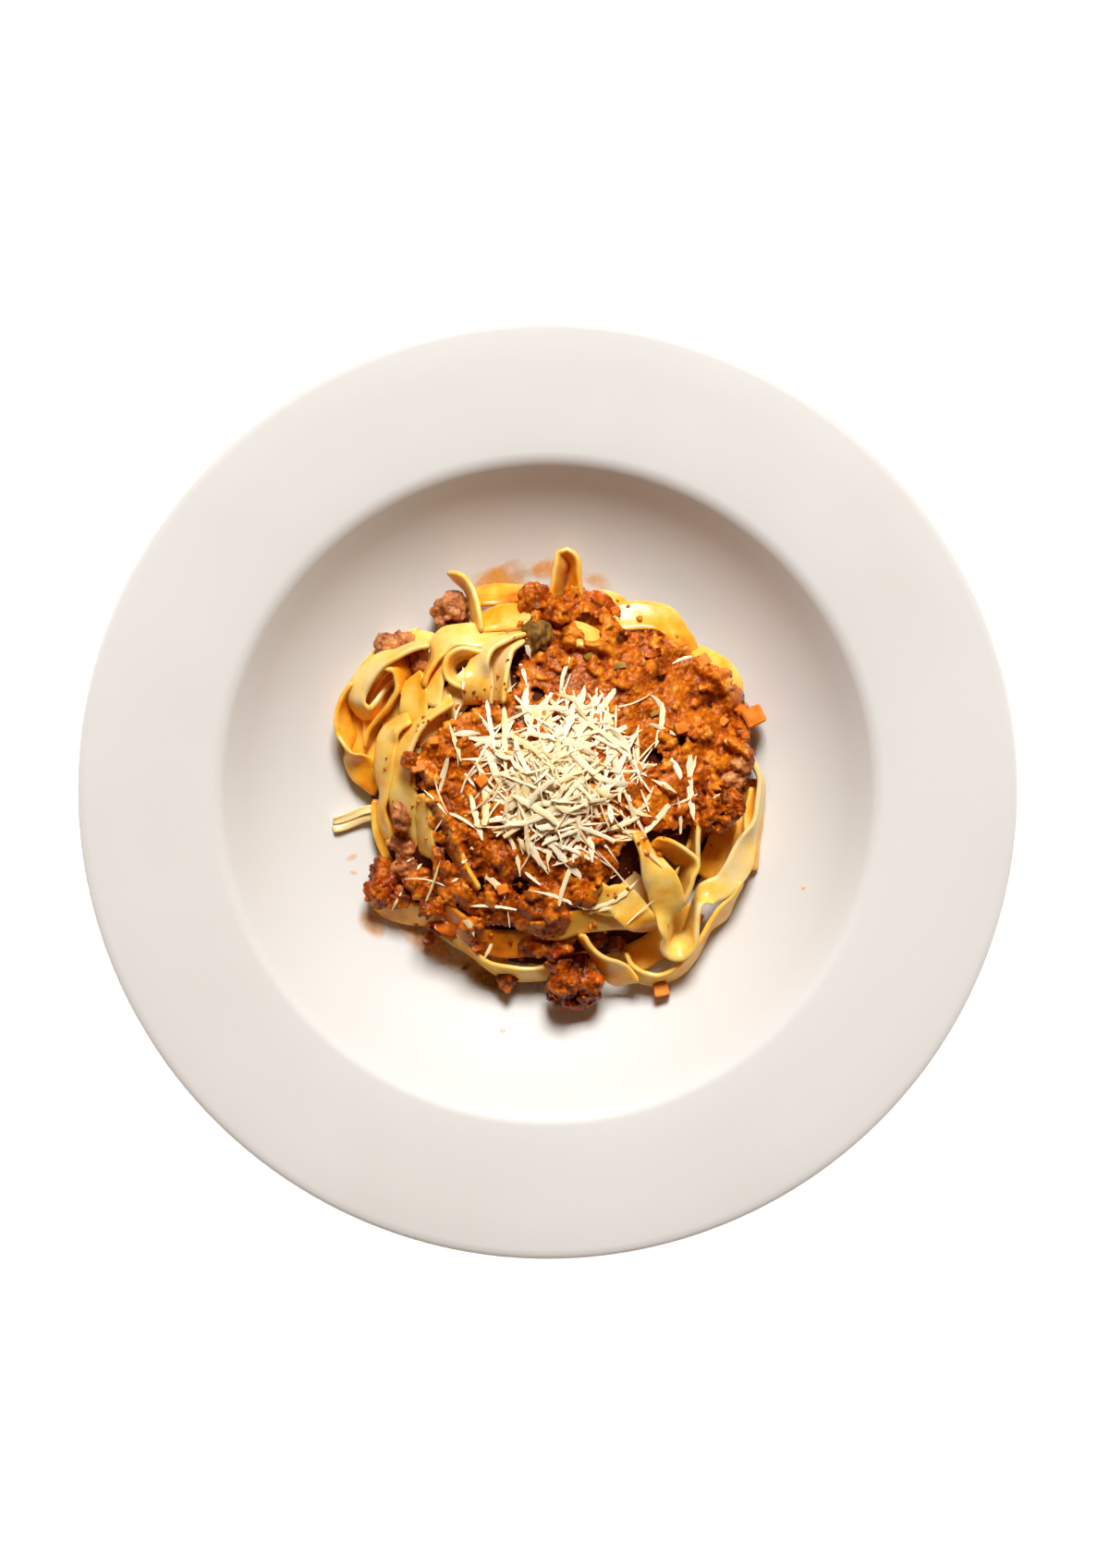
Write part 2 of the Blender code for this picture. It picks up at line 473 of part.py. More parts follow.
def make_core(material, collection):
    """The bare heap under the noodles, flat where it stands on the bowl's floor."""
    bm = bmesh.new()
    bmesh.ops.create_uvsphere(bm, u_segments=CORE_SEGMENTS, v_segments=CORE_RINGS, radius=1.0)
    for vert in bm.verts:
        flat = math.hypot(vert.co.x, vert.co.y)
        radius = CORE_RADIUS * min(1.0, flat)
        angle = math.atan2(vert.co.y, vert.co.x)
        x = radius * math.cos(angle)
        y = radius * math.sin(angle)
        if vert.co.z > 0.01:
            edge = min(1.0, (1 - flat**4) ** 0.5)
            z = FOOD_Z + (heap_z(x, y) - FOOD_Z - 0.4) * edge
        else:
            z = FOOD_Z
            x *= 0.97
            y *= 0.97
        vert.co = Vector((x, y, z)) * MM
    flat_faces = [f for f in bm.faces if all(abs(v.co.z - FOOD_Z * MM) < 1e-6 for v in f.verts)]
    bmesh.ops.dissolve_faces(bm, faces=flat_faces)
    bmesh.ops.triangulate(bm, faces=bm.faces)
    return add_object("pasta", bm, collection, material)


def make_shred(name, centre, direction, length, collection, material, bend=0.0):
    """A strip of grated cheese in two straight halves."""
    bm = bmesh.new()
    bmesh.ops.create_cube(bm, size=1.0)
    long_edges = [e for e in bm.edges if abs(e.verts[0].co.x - e.verts[1].co.x) > 0.5]
    bmesh.ops.subdivide_edges(bm, edges=long_edges, cuts=1)
    bmesh.ops.triangulate(bm, faces=bm.faces)
    turn = direction.to_track_quat("X", "Z").to_matrix().to_4x4()
    for vert in bm.verts:
        away = abs(vert.co.x) * 2
        width = SHRED_WIDTH * (1 - 0.3 * away)
        size = Vector((length * vert.co.x, width * vert.co.y, SHRED_THICK * vert.co.z))
        size.y += bend * (1 - away)
        vert.co = (Matrix.Translation(centre) @ turn @ size) * MM
    return add_object(name, bm, collection, material)


def lay_shreds(shreds, tree, name, collection, material):
    """Single shreds half sunk in what is under them."""
    pieces = []
    for k, (x, y, degrees, length) in enumerate(shreds):
        angle = math.radians(degrees)
        half = Vector((math.cos(angle), math.sin(angle), 0)) * (length * 0.35)
        ends = [Vector((x, y, 0)) + half * sign for sign in (-1, 1)]
        for end in ends:
            end.z = top_under(tree, end.x, end.y, FOOD_Z)
        middle = (ends[0] + ends[1]) / 2
        middle.z = max(middle.z, top_under(tree, x, y, FOOD_Z) - 0.3)
        direction = (ends[1] - ends[0]).normalized()
        pieces.append(make_shred(f"{name}_{k}", middle, direction, length, collection, material))
    return pieces


def make_pasta(collection, cheese_material):
    material = make_material("egg_pasta", (0.80, 0.53, 0.17), 0.4)
    core = make_core(material, collection)
    picker = random.Random(SEED)
    noodles = [make_noodle(name, places, NOODLE_WIDTH, collection, material)
               for name, places in NOODLES.items()]
    noodles.append(make_noodle("tip", NOODLE_TIP, 0.0, collection, material))
    for k, places in enumerate(flank_noodles(picker)):
        noodles.append(make_noodle(f"flank_{k}", places, NOODLE_WIDTH, collection, material))
    tree = tree_of([core, *noodles])
    noodles += lay_shreds(PASTA_SHREDS, tree, "pasta_shred", collection, cheese_material)
    combine(core, noodles, "UNION")
    return core


# ---- sauce ----------------------------------------------------------------------------
def blanket(name, middle, reach_at, bottom_at, top_at, grid, collection, material):
    """A closed layer between two heights, made from a round grid about a middle."""
    rings, spokes = grid
    bm = bmesh.new()
    tops, bottoms = [], []
    for ring in range(rings + 1):
        row_top, row_bottom = [], []
        for spoke in range(spokes if ring else 1):
            angle = 2 * math.pi * spoke / spokes
            share = ring / rings
            reach = reach_at(angle) * share
            x = middle[0] + reach * math.cos(angle)
            y = middle[1] + reach * math.sin(angle)
            row_top.append(bm.verts.new(Vector((x, y, top_at(x, y, share))) * MM))
            row_bottom.append(bm.verts.new(Vector((x, y, bottom_at(x, y))) * MM))
        tops.append(row_top)
        bottoms.append(row_bottom)
    for rows, flip in ((tops, False), (bottoms, True)):
        for ring in range(1, rings + 1):
            inner, outer = rows[ring - 1], rows[ring]
            for spoke in range(spokes):
                after = (spoke + 1) % spokes
                if ring == 1:
                    corners = [inner[0], outer[spoke], outer[after]]
                else:
                    corners = [inner[spoke], outer[spoke], outer[after], inner[after]]
                bm.faces.new(corners[::-1] if flip else corners)
    for spoke in range(spokes):
        after = (spoke + 1) % spokes
        bm.faces.new([bottoms[-1][spoke], bottoms[-1][after], tops[-1][after], tops[-1][spoke]])
    bmesh.ops.triangulate(bm, faces=bm.faces)
    return add_object(name, bm, collection, material)


def make_lump(name, centre, sizes, seed, collection, material, detail=1):
    """A crumb of mince: an icosphere with uneven sides."""
    bm = bmesh.new()
    bmesh.ops.create_icosphere(bm, subdivisions=detail, radius=1.0)
    for vert in bm.verts:
        swell = 1.0 + 0.28 * noise.noise(vert.co * 1.7 + Vector((seed * 3.1, 0, 0)))
        vert.co = (Vector(centre) + Vector(c * s for c, s in zip(vert.co, sizes)) * swell) * MM
    return add_object(name, bm, collection, material)


def sauce_reach(angle):
    return around(SAUCE_REACH, angle)


def sauce_bottom(x, y):
    return heap_z(x, y) + GAP


def sauce_top(x, y, share):
    bump = noise.noise(Vector((x, y, 3.0)) * 0.14) * 2.2
    return sauce_bottom(x, y) + max(1.5, SAUCE_THICK * (1 - 0.55 * share**3) + bump)


def make_sauce(collection, cheese_material):
    material = make_material("meat_sauce", (0.50, 0.15, 0.035), 0.45)
    grid = (SAUCE_RINGS, SAUCE_SPOKES)
    sauce = blanket("meat_sauce", SAUCE_MIDDLE, sauce_reach, sauce_bottom, sauce_top, grid,
                    collection, material)
    picker = random.Random(SEED + 1)
    top = tree_of([sauce])
    lumps = []
    for k in range(SAUCE_LUMPS):
        angle = k * math.pi * (3 - math.sqrt(5))
        share = math.sqrt((k + 0.5) / SAUCE_LUMPS)
        size = picker.uniform(3.4, 5.6)
        reach = (sauce_reach(angle) - size - 1.0) * share
        x = SAUCE_MIDDLE[0] + reach * math.cos(angle)
        y = SAUCE_MIDDLE[1] + reach * math.sin(angle)
        height = top_under(top, x, y, FOOD_Z)
        sizes = (size, size * 0.85, min(size * 0.8, 3.4))
        lumps.append(make_lump(f"lump_{k}", (x, y, height), sizes, k, collection, material))
    lumps += lay_shreds(SAUCE_SHREDS, tree_of([sauce, *lumps]), "sauce_shred", collection, cheese_material)
    combine(sauce, lumps, "UNION")
    return sauce


def cut_bed(obj, middle, reach_at, bottom_at, grid, collection):
    """Clears obj above a bed, so that the next layer lies in it with the gap all round."""
    bed = blanket("bed", middle, lambda angle: reach_at(angle) + GAP, lambda x, y: bottom_at(x, y) - GAP,
                  lambda x, y, share: bottom_at(x, y) + CUT_HEIGHT, grid, collection, obj.data.materials[0])
    combine(obj, [bed], "DIFFERENCE")


# ---- cheese ---------------------------------------------------------------------------
def cheese_reach(angle):
    wave = 1 + 0.12 * math.sin(3 * angle + 0.6) + 0.07 * math.sin(5 * angle)
    return math.hypot(CHEESE_RADIUS[0] * math.cos(angle), CHEESE_RADIUS[1] * math.sin(angle)) * wave


def cheese_bottom(x, y):
    return heap_z(x, y) + SAUCE_THICK + GAP


def cheese_top(x, y, share):
    bump = noise.noise(Vector((x, y, 9.0)) * 0.3)
    return cheese_bottom(x, y) + 1.4 + (CHEESE_HEIGHT + bump) * (1 - share**2) ** 0.8


def touches(piece, tree):
    own = BVHTree.FromPolygons([v.co / MM for v in piece.data.vertices],
                               [list(face.vertices) for face in piece.data.polygons])
    return bool(own.overlap(tree))


def make_cheese(collection, sauce, material):
    grid = (CHEESE_RINGS, CHEESE_SPOKES)
    cheese = blanket("grated_cheese", CHEESE_MIDDLE, cheese_reach, cheese_bottom, cheese_top, grid,
                     collection, material)
    cut_bed(sauce, CHEESE_MIDDLE, cheese_reach, cheese_bottom, grid, collection)
    picker = random.Random(SEED + 2)
    top = tree_of([cheese])
    below = tree_of([sauce])
    shreds = []
    for k in range(CHEESE_SHREDS):
        angle = k * math.pi * (3 - math.sqrt(5))
        share = math.sqrt((k + 0.5) / CHEESE_SHREDS)
        reach = cheese_reach(angle) * share * 0.93
        x = CHEESE_MIDDLE[0] + reach * math.cos(angle)
        y = CHEESE_MIDDLE[1] + reach * math.sin(angle)
        length = picker.uniform(8.0, 15.0)
        heading = angle + picker.uniform(-1.2, 1.2) if share > 0.6 else picker.uniform(0, math.pi)
        lift = picker.uniform(-0.1, 0.25) * (1.4 - share)
        direction = Vector((math.cos(heading), math.sin(heading), lift)).normalized()
        middle = Vector((x, y, top_under(top, x, y, FOOD_Z) + 0.1))
        shred = make_shred(f"shred_{k}", middle, direction, length, collection, material,
                           picker.uniform(-1.0, 1.0))
        if touches(shred, below):
            bpy.data.objects.remove(shred, do_unlink=True)
        else:
            shreds.append(shred)
    combine(cheese, shreds, "UNION")
    return cheese


# ---- pieces that lie apart ------------------------------------------------------------
def grown_copy(piece, centre):
    """A copy that stands out by a little more than the gap, to cut its bed with."""
    mesh = piece.data.copy()
    for vert in mesh.vertices:
        away = vert.co - Vector(centre) * MM
        vert.co += away.normalized() * (GAP * 1.5 * MM)
    copy = bpy.data.objects.new("bed", mesh)
    piece.users_collection[0].objects.link(copy)
    return copy


def make_clumps(collection):
    meat = make_material("browned_mince", (0.34, 0.11, 0.035), 0.5)
    mushroom = make_material("dark_mushroom", (0.10, 0.055, 0.025), 0.45)
    pieces = []
    for k, (name, (centre, sizes)) in enumerate(CLUMPS.items()):
        material = mushroom if name.startswith("mushroom") else meat
        clump = make_lump(name, centre, sizes, 20 + k, collection, material, detail=2)
        for vert in clump.data.vertices:
            vert.co.z = max(vert.co.z, (bowl_z(vert.co.x / MM, vert.co.y / MM) + GAP * 1.5) * MM)
        pieces.append((clump, centre))
    return pieces


def make_carrots(collection):
    material = make_material("carrot", (0.75, 0.20, 0.03), 0.4)
    pieces = []
    for name, (centre, side, degrees) in CARROTS.items():
        bm = bmesh.new()
        bmesh.ops.create_cube(bm, size=side * MM)
        turn = Matrix.Rotation(math.radians(degrees), 4, "Z")
        bmesh.ops.transform(bm, matrix=Matrix.Translation(Vector(centre) * MM) @ turn, verts=bm.verts)
        pieces.append((add_object(name, bm, collection, material), centre))
    return pieces


def main():
    clear_scene()
    collection = make_collection("fettuccine_bolognese")
    cheese_material = make_material("hard_cheese", (0.88, 0.80, 0.55), 0.5)
    make_bowl(collection)
    pasta = make_pasta(collection, cheese_material)
    sauce = make_sauce(collection, cheese_material)
    cut_bed(pasta, SAUCE_MIDDLE, sauce_reach, sauce_bottom, (SAUCE_RINGS, SAUCE_SPOKES), collection)
    make_cheese(collection, sauce, cheese_material)
    for piece, centre in make_clumps(collection) + make_carrots(collection):
        for food in (pasta, sauce):
            combine(food, [grown_copy(piece, centre)], "DIFFERENCE")


main()
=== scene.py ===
import math
import random

import bmesh
import bpy
import numpy as np
from mathutils import Matrix, Vector, noise
from mathutils.bvhtree import BVHTree


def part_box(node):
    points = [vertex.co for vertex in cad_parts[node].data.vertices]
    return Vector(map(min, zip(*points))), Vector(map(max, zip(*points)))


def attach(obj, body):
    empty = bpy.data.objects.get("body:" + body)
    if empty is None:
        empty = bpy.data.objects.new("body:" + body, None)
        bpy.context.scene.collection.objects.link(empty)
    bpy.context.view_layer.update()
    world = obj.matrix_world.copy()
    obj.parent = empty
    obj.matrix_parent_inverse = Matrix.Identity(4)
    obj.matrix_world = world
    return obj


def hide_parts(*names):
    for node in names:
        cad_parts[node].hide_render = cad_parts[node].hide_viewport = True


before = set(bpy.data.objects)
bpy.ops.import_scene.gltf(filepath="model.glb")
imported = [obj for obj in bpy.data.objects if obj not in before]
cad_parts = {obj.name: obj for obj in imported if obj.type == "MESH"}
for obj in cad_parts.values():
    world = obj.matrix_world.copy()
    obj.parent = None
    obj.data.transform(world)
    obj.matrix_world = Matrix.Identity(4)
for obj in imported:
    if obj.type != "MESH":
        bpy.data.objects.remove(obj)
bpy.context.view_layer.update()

mm = 0.001
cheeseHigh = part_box("grated_cheese")[1]
floorZ = 8.0      # the bowl's inner floor, in millimetres as are the food's and the bowl's sizes below
gap = 0.35        # what the food stays clear of the glaze


def linear(hexColour):
    # sRGB hex to linear, as shader sockets expect
    values = [int(hexColour[i:i + 2], 16) / 255 for i in (1, 3, 5)]
    return tuple(v / 12.92 if v <= 0.04045 else ((v + 0.055) / 1.055) ** 2.4 for v in values) + (1.0,)


def addNode(tree, kind, settings=None, inputs=None, links=None):
    # one node with its settings, its socket values and what feeds it
    node = tree.nodes.new(kind)
    for key, value in (settings or {}).items():
        setattr(node, key, value)
    for key, value in (inputs or {}).items():
        node.inputs[key].default_value = value
    for key, source in (links or {}).items():
        tree.links.new(source, node.inputs[key])
    return node


def placeIn(tree):
    # where a point is on its object; the nodes of one material share it
    node = tree.nodes.get("place") or addNode(tree, "ShaderNodeTexCoord", {"name": "place"})
    return node.outputs["Object"]


def addNoise(tree, size, detail=2.0, rough=0.5):
    # blobs about this many millimetres wide
    return addNode(tree, "ShaderNodeTexNoise", inputs={
        "Scale": 1000.0 / size, "Detail": detail, "Roughness": rough}, links={"Vector": placeIn(tree)}).outputs["Fac"]


def addAttribute(tree, name):
    return addNode(tree, "ShaderNodeAttribute", {"attribute_name": name}).outputs["Fac"]


def addSum(tree, first, second, factor, shift=0.0):
    # first * factor + second + shift
    scaled = addNode(tree, "ShaderNodeMath", {"operation": "MULTIPLY_ADD"}, {1: factor, 2: shift}, {0: first})
    return addNode(tree, "ShaderNodeMath", {"operation": "ADD"}, None, {0: scaled.outputs[0], 1: second}).outputs[0]


def addSpan(tree, source, low, high, first=0.0, last=1.0):
    # low to high becomes first to last
    return addNode(tree, "ShaderNodeMapRange", inputs={
        "From Min": low, "From Max": high, "To Min": first, "To Max": last}, links={"Value": source}).outputs[0]


def addRamp(tree, source, *stops):
    # each stop is a place from 0 to 1 and a hex colour
    node = addNode(tree, "ShaderNodeValToRGB", links={"Fac": source})
    ramp = node.color_ramp
    while len(ramp.elements) > 1:
        ramp.elements.remove(ramp.elements[-1])
    ramp.elements[0].position, ramp.elements[0].color = stops[0][0], linear(stops[0][1])
    for place, colour in stops[1:]:
        ramp.elements.new(place).color = linear(colour)
    return node.outputs["Color"]


def addMix(tree, factor, first, second):
    # an end is a hex colour or what another node gives
    ends = {"A": first, "B": second}
    fixed = {key: linear(end) for key, end in ends.items() if isinstance(end, str)}
    fed = {key: end for key, end in ends.items() if key not in fixed}
    return addNode(tree, "ShaderNodeMix", {"data_type": "RGBA"}, fixed, {"Factor": factor, **fed}).outputs["Result"]


def addBump(tree, source, strength, distance):
    return addNode(tree, "ShaderNodeBump", inputs={
        "Strength": strength, "Distance": distance}, links={"Height": source}).outputs["Normal"]


def soft(weight, radius):
    # how much light goes in and how far each of red, green and blue comes through, in metres
    return {"Subsurface Weight": weight, "Subsurface Radius": radius, "Subsurface Scale": 1.0}


def startMaterial(name):
    material = bpy.data.materials.new(name)
    material.use_nodes = True
    tree = material.node_tree
    tree.nodes.clear()
    return material, tree


def finishMaterial(tree, inputs, links=None):
    shader = addNode(tree, "ShaderNodeBsdfPrincipled", inputs=inputs, links=links)
    addNode(tree, "ShaderNodeOutputMaterial", links={"Surface": shader.outputs[0]})


def makeMesh(name, points, faces, material):
    mesh = bpy.data.meshes.new(name)
    mesh.from_pydata([tuple(p) for p in np.asarray(points) * mm], [], faces)
    mesh.update()
    mesh.shade_smooth()
    obj = bpy.data.objects.new(name, mesh)
    bpy.context.scene.collection.objects.link(obj)
    mesh.materials.append(material)
    return obj


def setNumbers(obj, name, values):
    attribute = obj.data.attributes.new(name, "FLOAT", "POINT")
    attribute.data.foreach_set("value", np.asarray(values, dtype=np.float32))


def applyModifiers(obj):
    graph = bpy.context.evaluated_depsgraph_get()
    mesh = bpy.data.meshes.new_from_object(obj.evaluated_get(graph))
    obj.modifiers.clear()
    obj.data = mesh


def meshArrays(obj):
    mesh = obj.data
    points = np.empty(len(mesh.vertices) * 3)
    mesh.vertices.foreach_get("co", points)
    return points.reshape(-1, 3) / mm


def treeOf(objects):
    points, faces = [], []
    for obj in objects:
        start = len(points)
        points.extend(Vector(p) for p in meshArrays(obj))
        faces.extend([start + i for i in polygon.vertices] for polygon in obj.data.polygons)
    return BVHTree.FromPolygons(points, faces)


def topAt(tree, x, y, default):
    hit = tree.ray_cast(Vector((x, y, 150.0)), Vector((0, 0, -1)))[0]
    return hit.z if hit else default


def smoothValue(values, index, share):
    # Catmull-Rom between values[index] and the next one
    last = len(values) - 1
    a, b = values[max(index - 1, 0)], values[index]
    c, d = values[min(index + 1, last)], values[min(index + 2, last)]
    return 0.5 * (2 * b + (c - a) * share + (2 * a - 5 * b + 4 * c - d) * share ** 2
                  + (3 * b - a - 3 * c + d) * share ** 3)


def cloud(x, y, size, seed):
    # smooth random field from -1 to 1 with blobs about as wide as size
    table = np.random.default_rng(seed).uniform(-1, 1, (64, 64))
    u, v = np.asarray(x) / size + 640.3, np.asarray(y) / size + 640.7
    i, j = np.floor(u).astype(int), np.floor(v).astype(int)
    a, b = u - i, v - j
    a, b = a * a * (3 - 2 * a), b * b * (3 - 2 * b)
    i, j = i % 63, j % 63
    return (table[i, j] * (1 - a) * (1 - b) + table[i + 1, j] * a * (1 - b)
            + table[i, j + 1] * (1 - a) * b + table[i + 1, j + 1] * a * b)


def blurred(field, cells):
    # running mean over a square, twice, edges repeated
    size = 2 * cells + 1
    for _ in range(2):
        for axis in (0, 1):
            padded = np.pad(field, [(cells + 1, cells) if k == axis else (0, 0) for k in (0, 1)], mode="edge")
            total = np.cumsum(padded, axis=axis)
            ahead = np.take(total, range(size, total.shape[axis]), axis=axis)
            behind = np.take(total, range(0, total.shape[axis] - size), axis=axis)
            field = (ahead - behind) / size
    return field


def shelter(obj, tree, reach, rays, seed, count=None):
    # how closed in each vertex is, 0 to 1: the share of rays about its normal that meet something near
    draw = random.Random(seed)
    spread = []
    for _ in range(rays):
        z, angle = draw.uniform(-1, 1), draw.uniform(0, 2 * math.pi)
        flat = math.sqrt(1 - z * z)
        spread.append(Vector((flat * math.cos(angle), flat * math.sin(angle), z)) * 0.98)
    values = np.ones(len(obj.data.vertices))
    for vert in list(obj.data.vertices)[:count]:
        normal = vert.normal
        start = vert.co / mm + normal * 0.15
        met = 0.0
        for way in spread:
            distance = tree.ray_cast(start, normal + way, reach)[3]
            if distance is not None:
                met += 1 - 0.6 * distance / reach
        values[vert.index] = met / rays
    return values


heap = {"height": 30.5, "spread": 68.0, "core": 53.0}


def heapZ(x, y):
    share = min(1.0, math.hypot(x, y) / heap["spread"])
    return floorZ + gap + heap["height"] * (1 - share ** 2.2)


def bowlZ(x, y):
    past = max(0.0, math.hypot(x, y) - bowl["floorRadius"]) / bowl["wallBend"]
    return floorZ + bowl["wallBend"] * (1 - math.sqrt(max(0.0, 1 - past ** 2)))


bowl = {"radius": 137.5, "rimZ": 31.0, "lipRadius": 94.5, "lipBend": 6.8, "floorRadius": 50.0, "wallBend": 57.5,
        "wallAngle": 44.0, "thick": 4.6, "footRadius": 59.0, "footWidth": 4.0, "steps": 192,
        "glaze": "#dedcd6", "glazeDeep": "#dbd8d1", "well": "#dbd8d1", "wellBlend": (24.0, 30.5)}


def glazedPorcelain():
    # fired feldspar glaze on a white body: a soft, satin gloss over a warm white that is a little uneven
    material, tree = startMaterial("glazed_porcelain")
    tone = addRamp(tree, addNoise(tree, 70.0), (0.35, bowl["glazeDeep"]), (0.65, bowl["glaze"]))
    # below the rim the glaze turns a little darker and warmer
    spot = addNode(tree, "ShaderNodeSeparateXYZ", links={"Vector": placeIn(tree)})
    height = addSpan(tree, spot.outputs["Z"], *(z * mm for z in bowl["wellBlend"]))
    finishMaterial(tree, {
        "Roughness": 0.48, "IOR": 1.5, "Specular IOR Level": 0.3, **soft(0.1, (0.003, 0.0025, 0.002))}, {
        "Base Color": addMix(tree, height, bowl["well"], tone),
        "Normal": addBump(tree, addNoise(tree, 16.0, 1.0), 0.04, 0.0004)})
    return material


def arc(radius, z, bend, firstAngle, lastAngle, count):
    angles = [math.radians(firstAngle + (lastAngle - firstAngle) * k / count) for k in range(count + 1)]
    return [(radius + bend * math.sin(a), z + bend * (1 - math.cos(a))) for a in angles]


def bowlSection():
    # from the floor's middle up the wall, over the soft lip, along the rim and down to the foot ring
    rim, rimZ, foot = bowl["radius"], bowl["rimZ"], bowl["footRadius"]
    under = floorZ - bowl["thick"]
    inside = [(0.0, floorZ), (25.0, floorZ)]
    inside += arc(bowl["floorRadius"], floorZ, bowl["wallBend"], 0, bowl["wallAngle"], 18)
    lipTop = bowl["lipRadius"] + bowl["lipBend"] * math.sin(math.radians(bowl["wallAngle"]))
    lip = arc(lipTop, rimZ - 0.6, -bowl["lipBend"], bowl["wallAngle"], 4, 9)
    top = [(lipTop + 5, rimZ - 0.3), (lipTop + 12, rimZ - 0.1), (lipTop + 24, rimZ), (rim - 3, rimZ - 0.05),
           (rim - 1.4, rimZ - 0.25), (rim - 0.7, rimZ - 0.6), (rim - 0.2, rimZ - 1.2),
           (rim, rimZ - 2.2), (rim - 0.3, rimZ - 3.6), (rim - 1.0, rimZ - 4.3), (rim - 2.2, rimZ - 4.7)]
    below = [(rim - 8.0, rimZ - 5.0), (lipTop + 14, rimZ - 5.4), (lipTop + 4, rimZ - 6.0)]
    outside = arc(bowl["floorRadius"], under, bowl["wallBend"] + bowl["thick"], 12, bowl["wallAngle"] - 1, 12)[::-1]
    ring = [(foot + 1.2, under + 0.1), (foot + 0.5, under - 1.0), (foot + 0.2, 0.5), (foot - 0.4, 0.0),
            (foot - bowl["footWidth"], 0.0), (foot - bowl["footWidth"] - 0.6, 0.6),
            (foot - bowl["footWidth"] - 1.2, under - 0.9), (foot - bowl["footWidth"] - 2.0, under), (0.0, under)]
    return inside + lip + top + below + outside + ring


def makeBowl():
    section = bowlSection()
    mesh = bpy.data.meshes.new("porcelain_bowl")
    mesh.from_pydata([(r * mm, 0, z * mm) for r, z in section], [(i, i + 1) for i in range(len(section) - 1)], [])
    obj = bpy.data.objects.new("porcelain_bowl", mesh)
    bpy.context.scene.collection.objects.link(obj)
    turn = obj.modifiers.new("turn", "SCREW")
    turn.axis = "Z"
    turn.steps = turn.render_steps = bowl["steps"]
    turn.use_merge_vertices = True
    turn.merge_threshold = 0.00005
    applyModifiers(obj)
    form = bmesh.new()
    form.from_mesh(obj.data)
    bmesh.ops.remove_doubles(form, verts=form.verts, dist=1e-6)
    bmesh.ops.recalc_face_normals(form, faces=form.faces)
    form.to_mesh(obj.data)
    form.free()
    obj.data.shade_smooth()
    obj.data.set_sharp_from_angle(angle=math.radians(50))
    obj.data.materials.append(glazedPorcelain())
    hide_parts("bowl")
    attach(obj, "root")
    print("bowl turned")


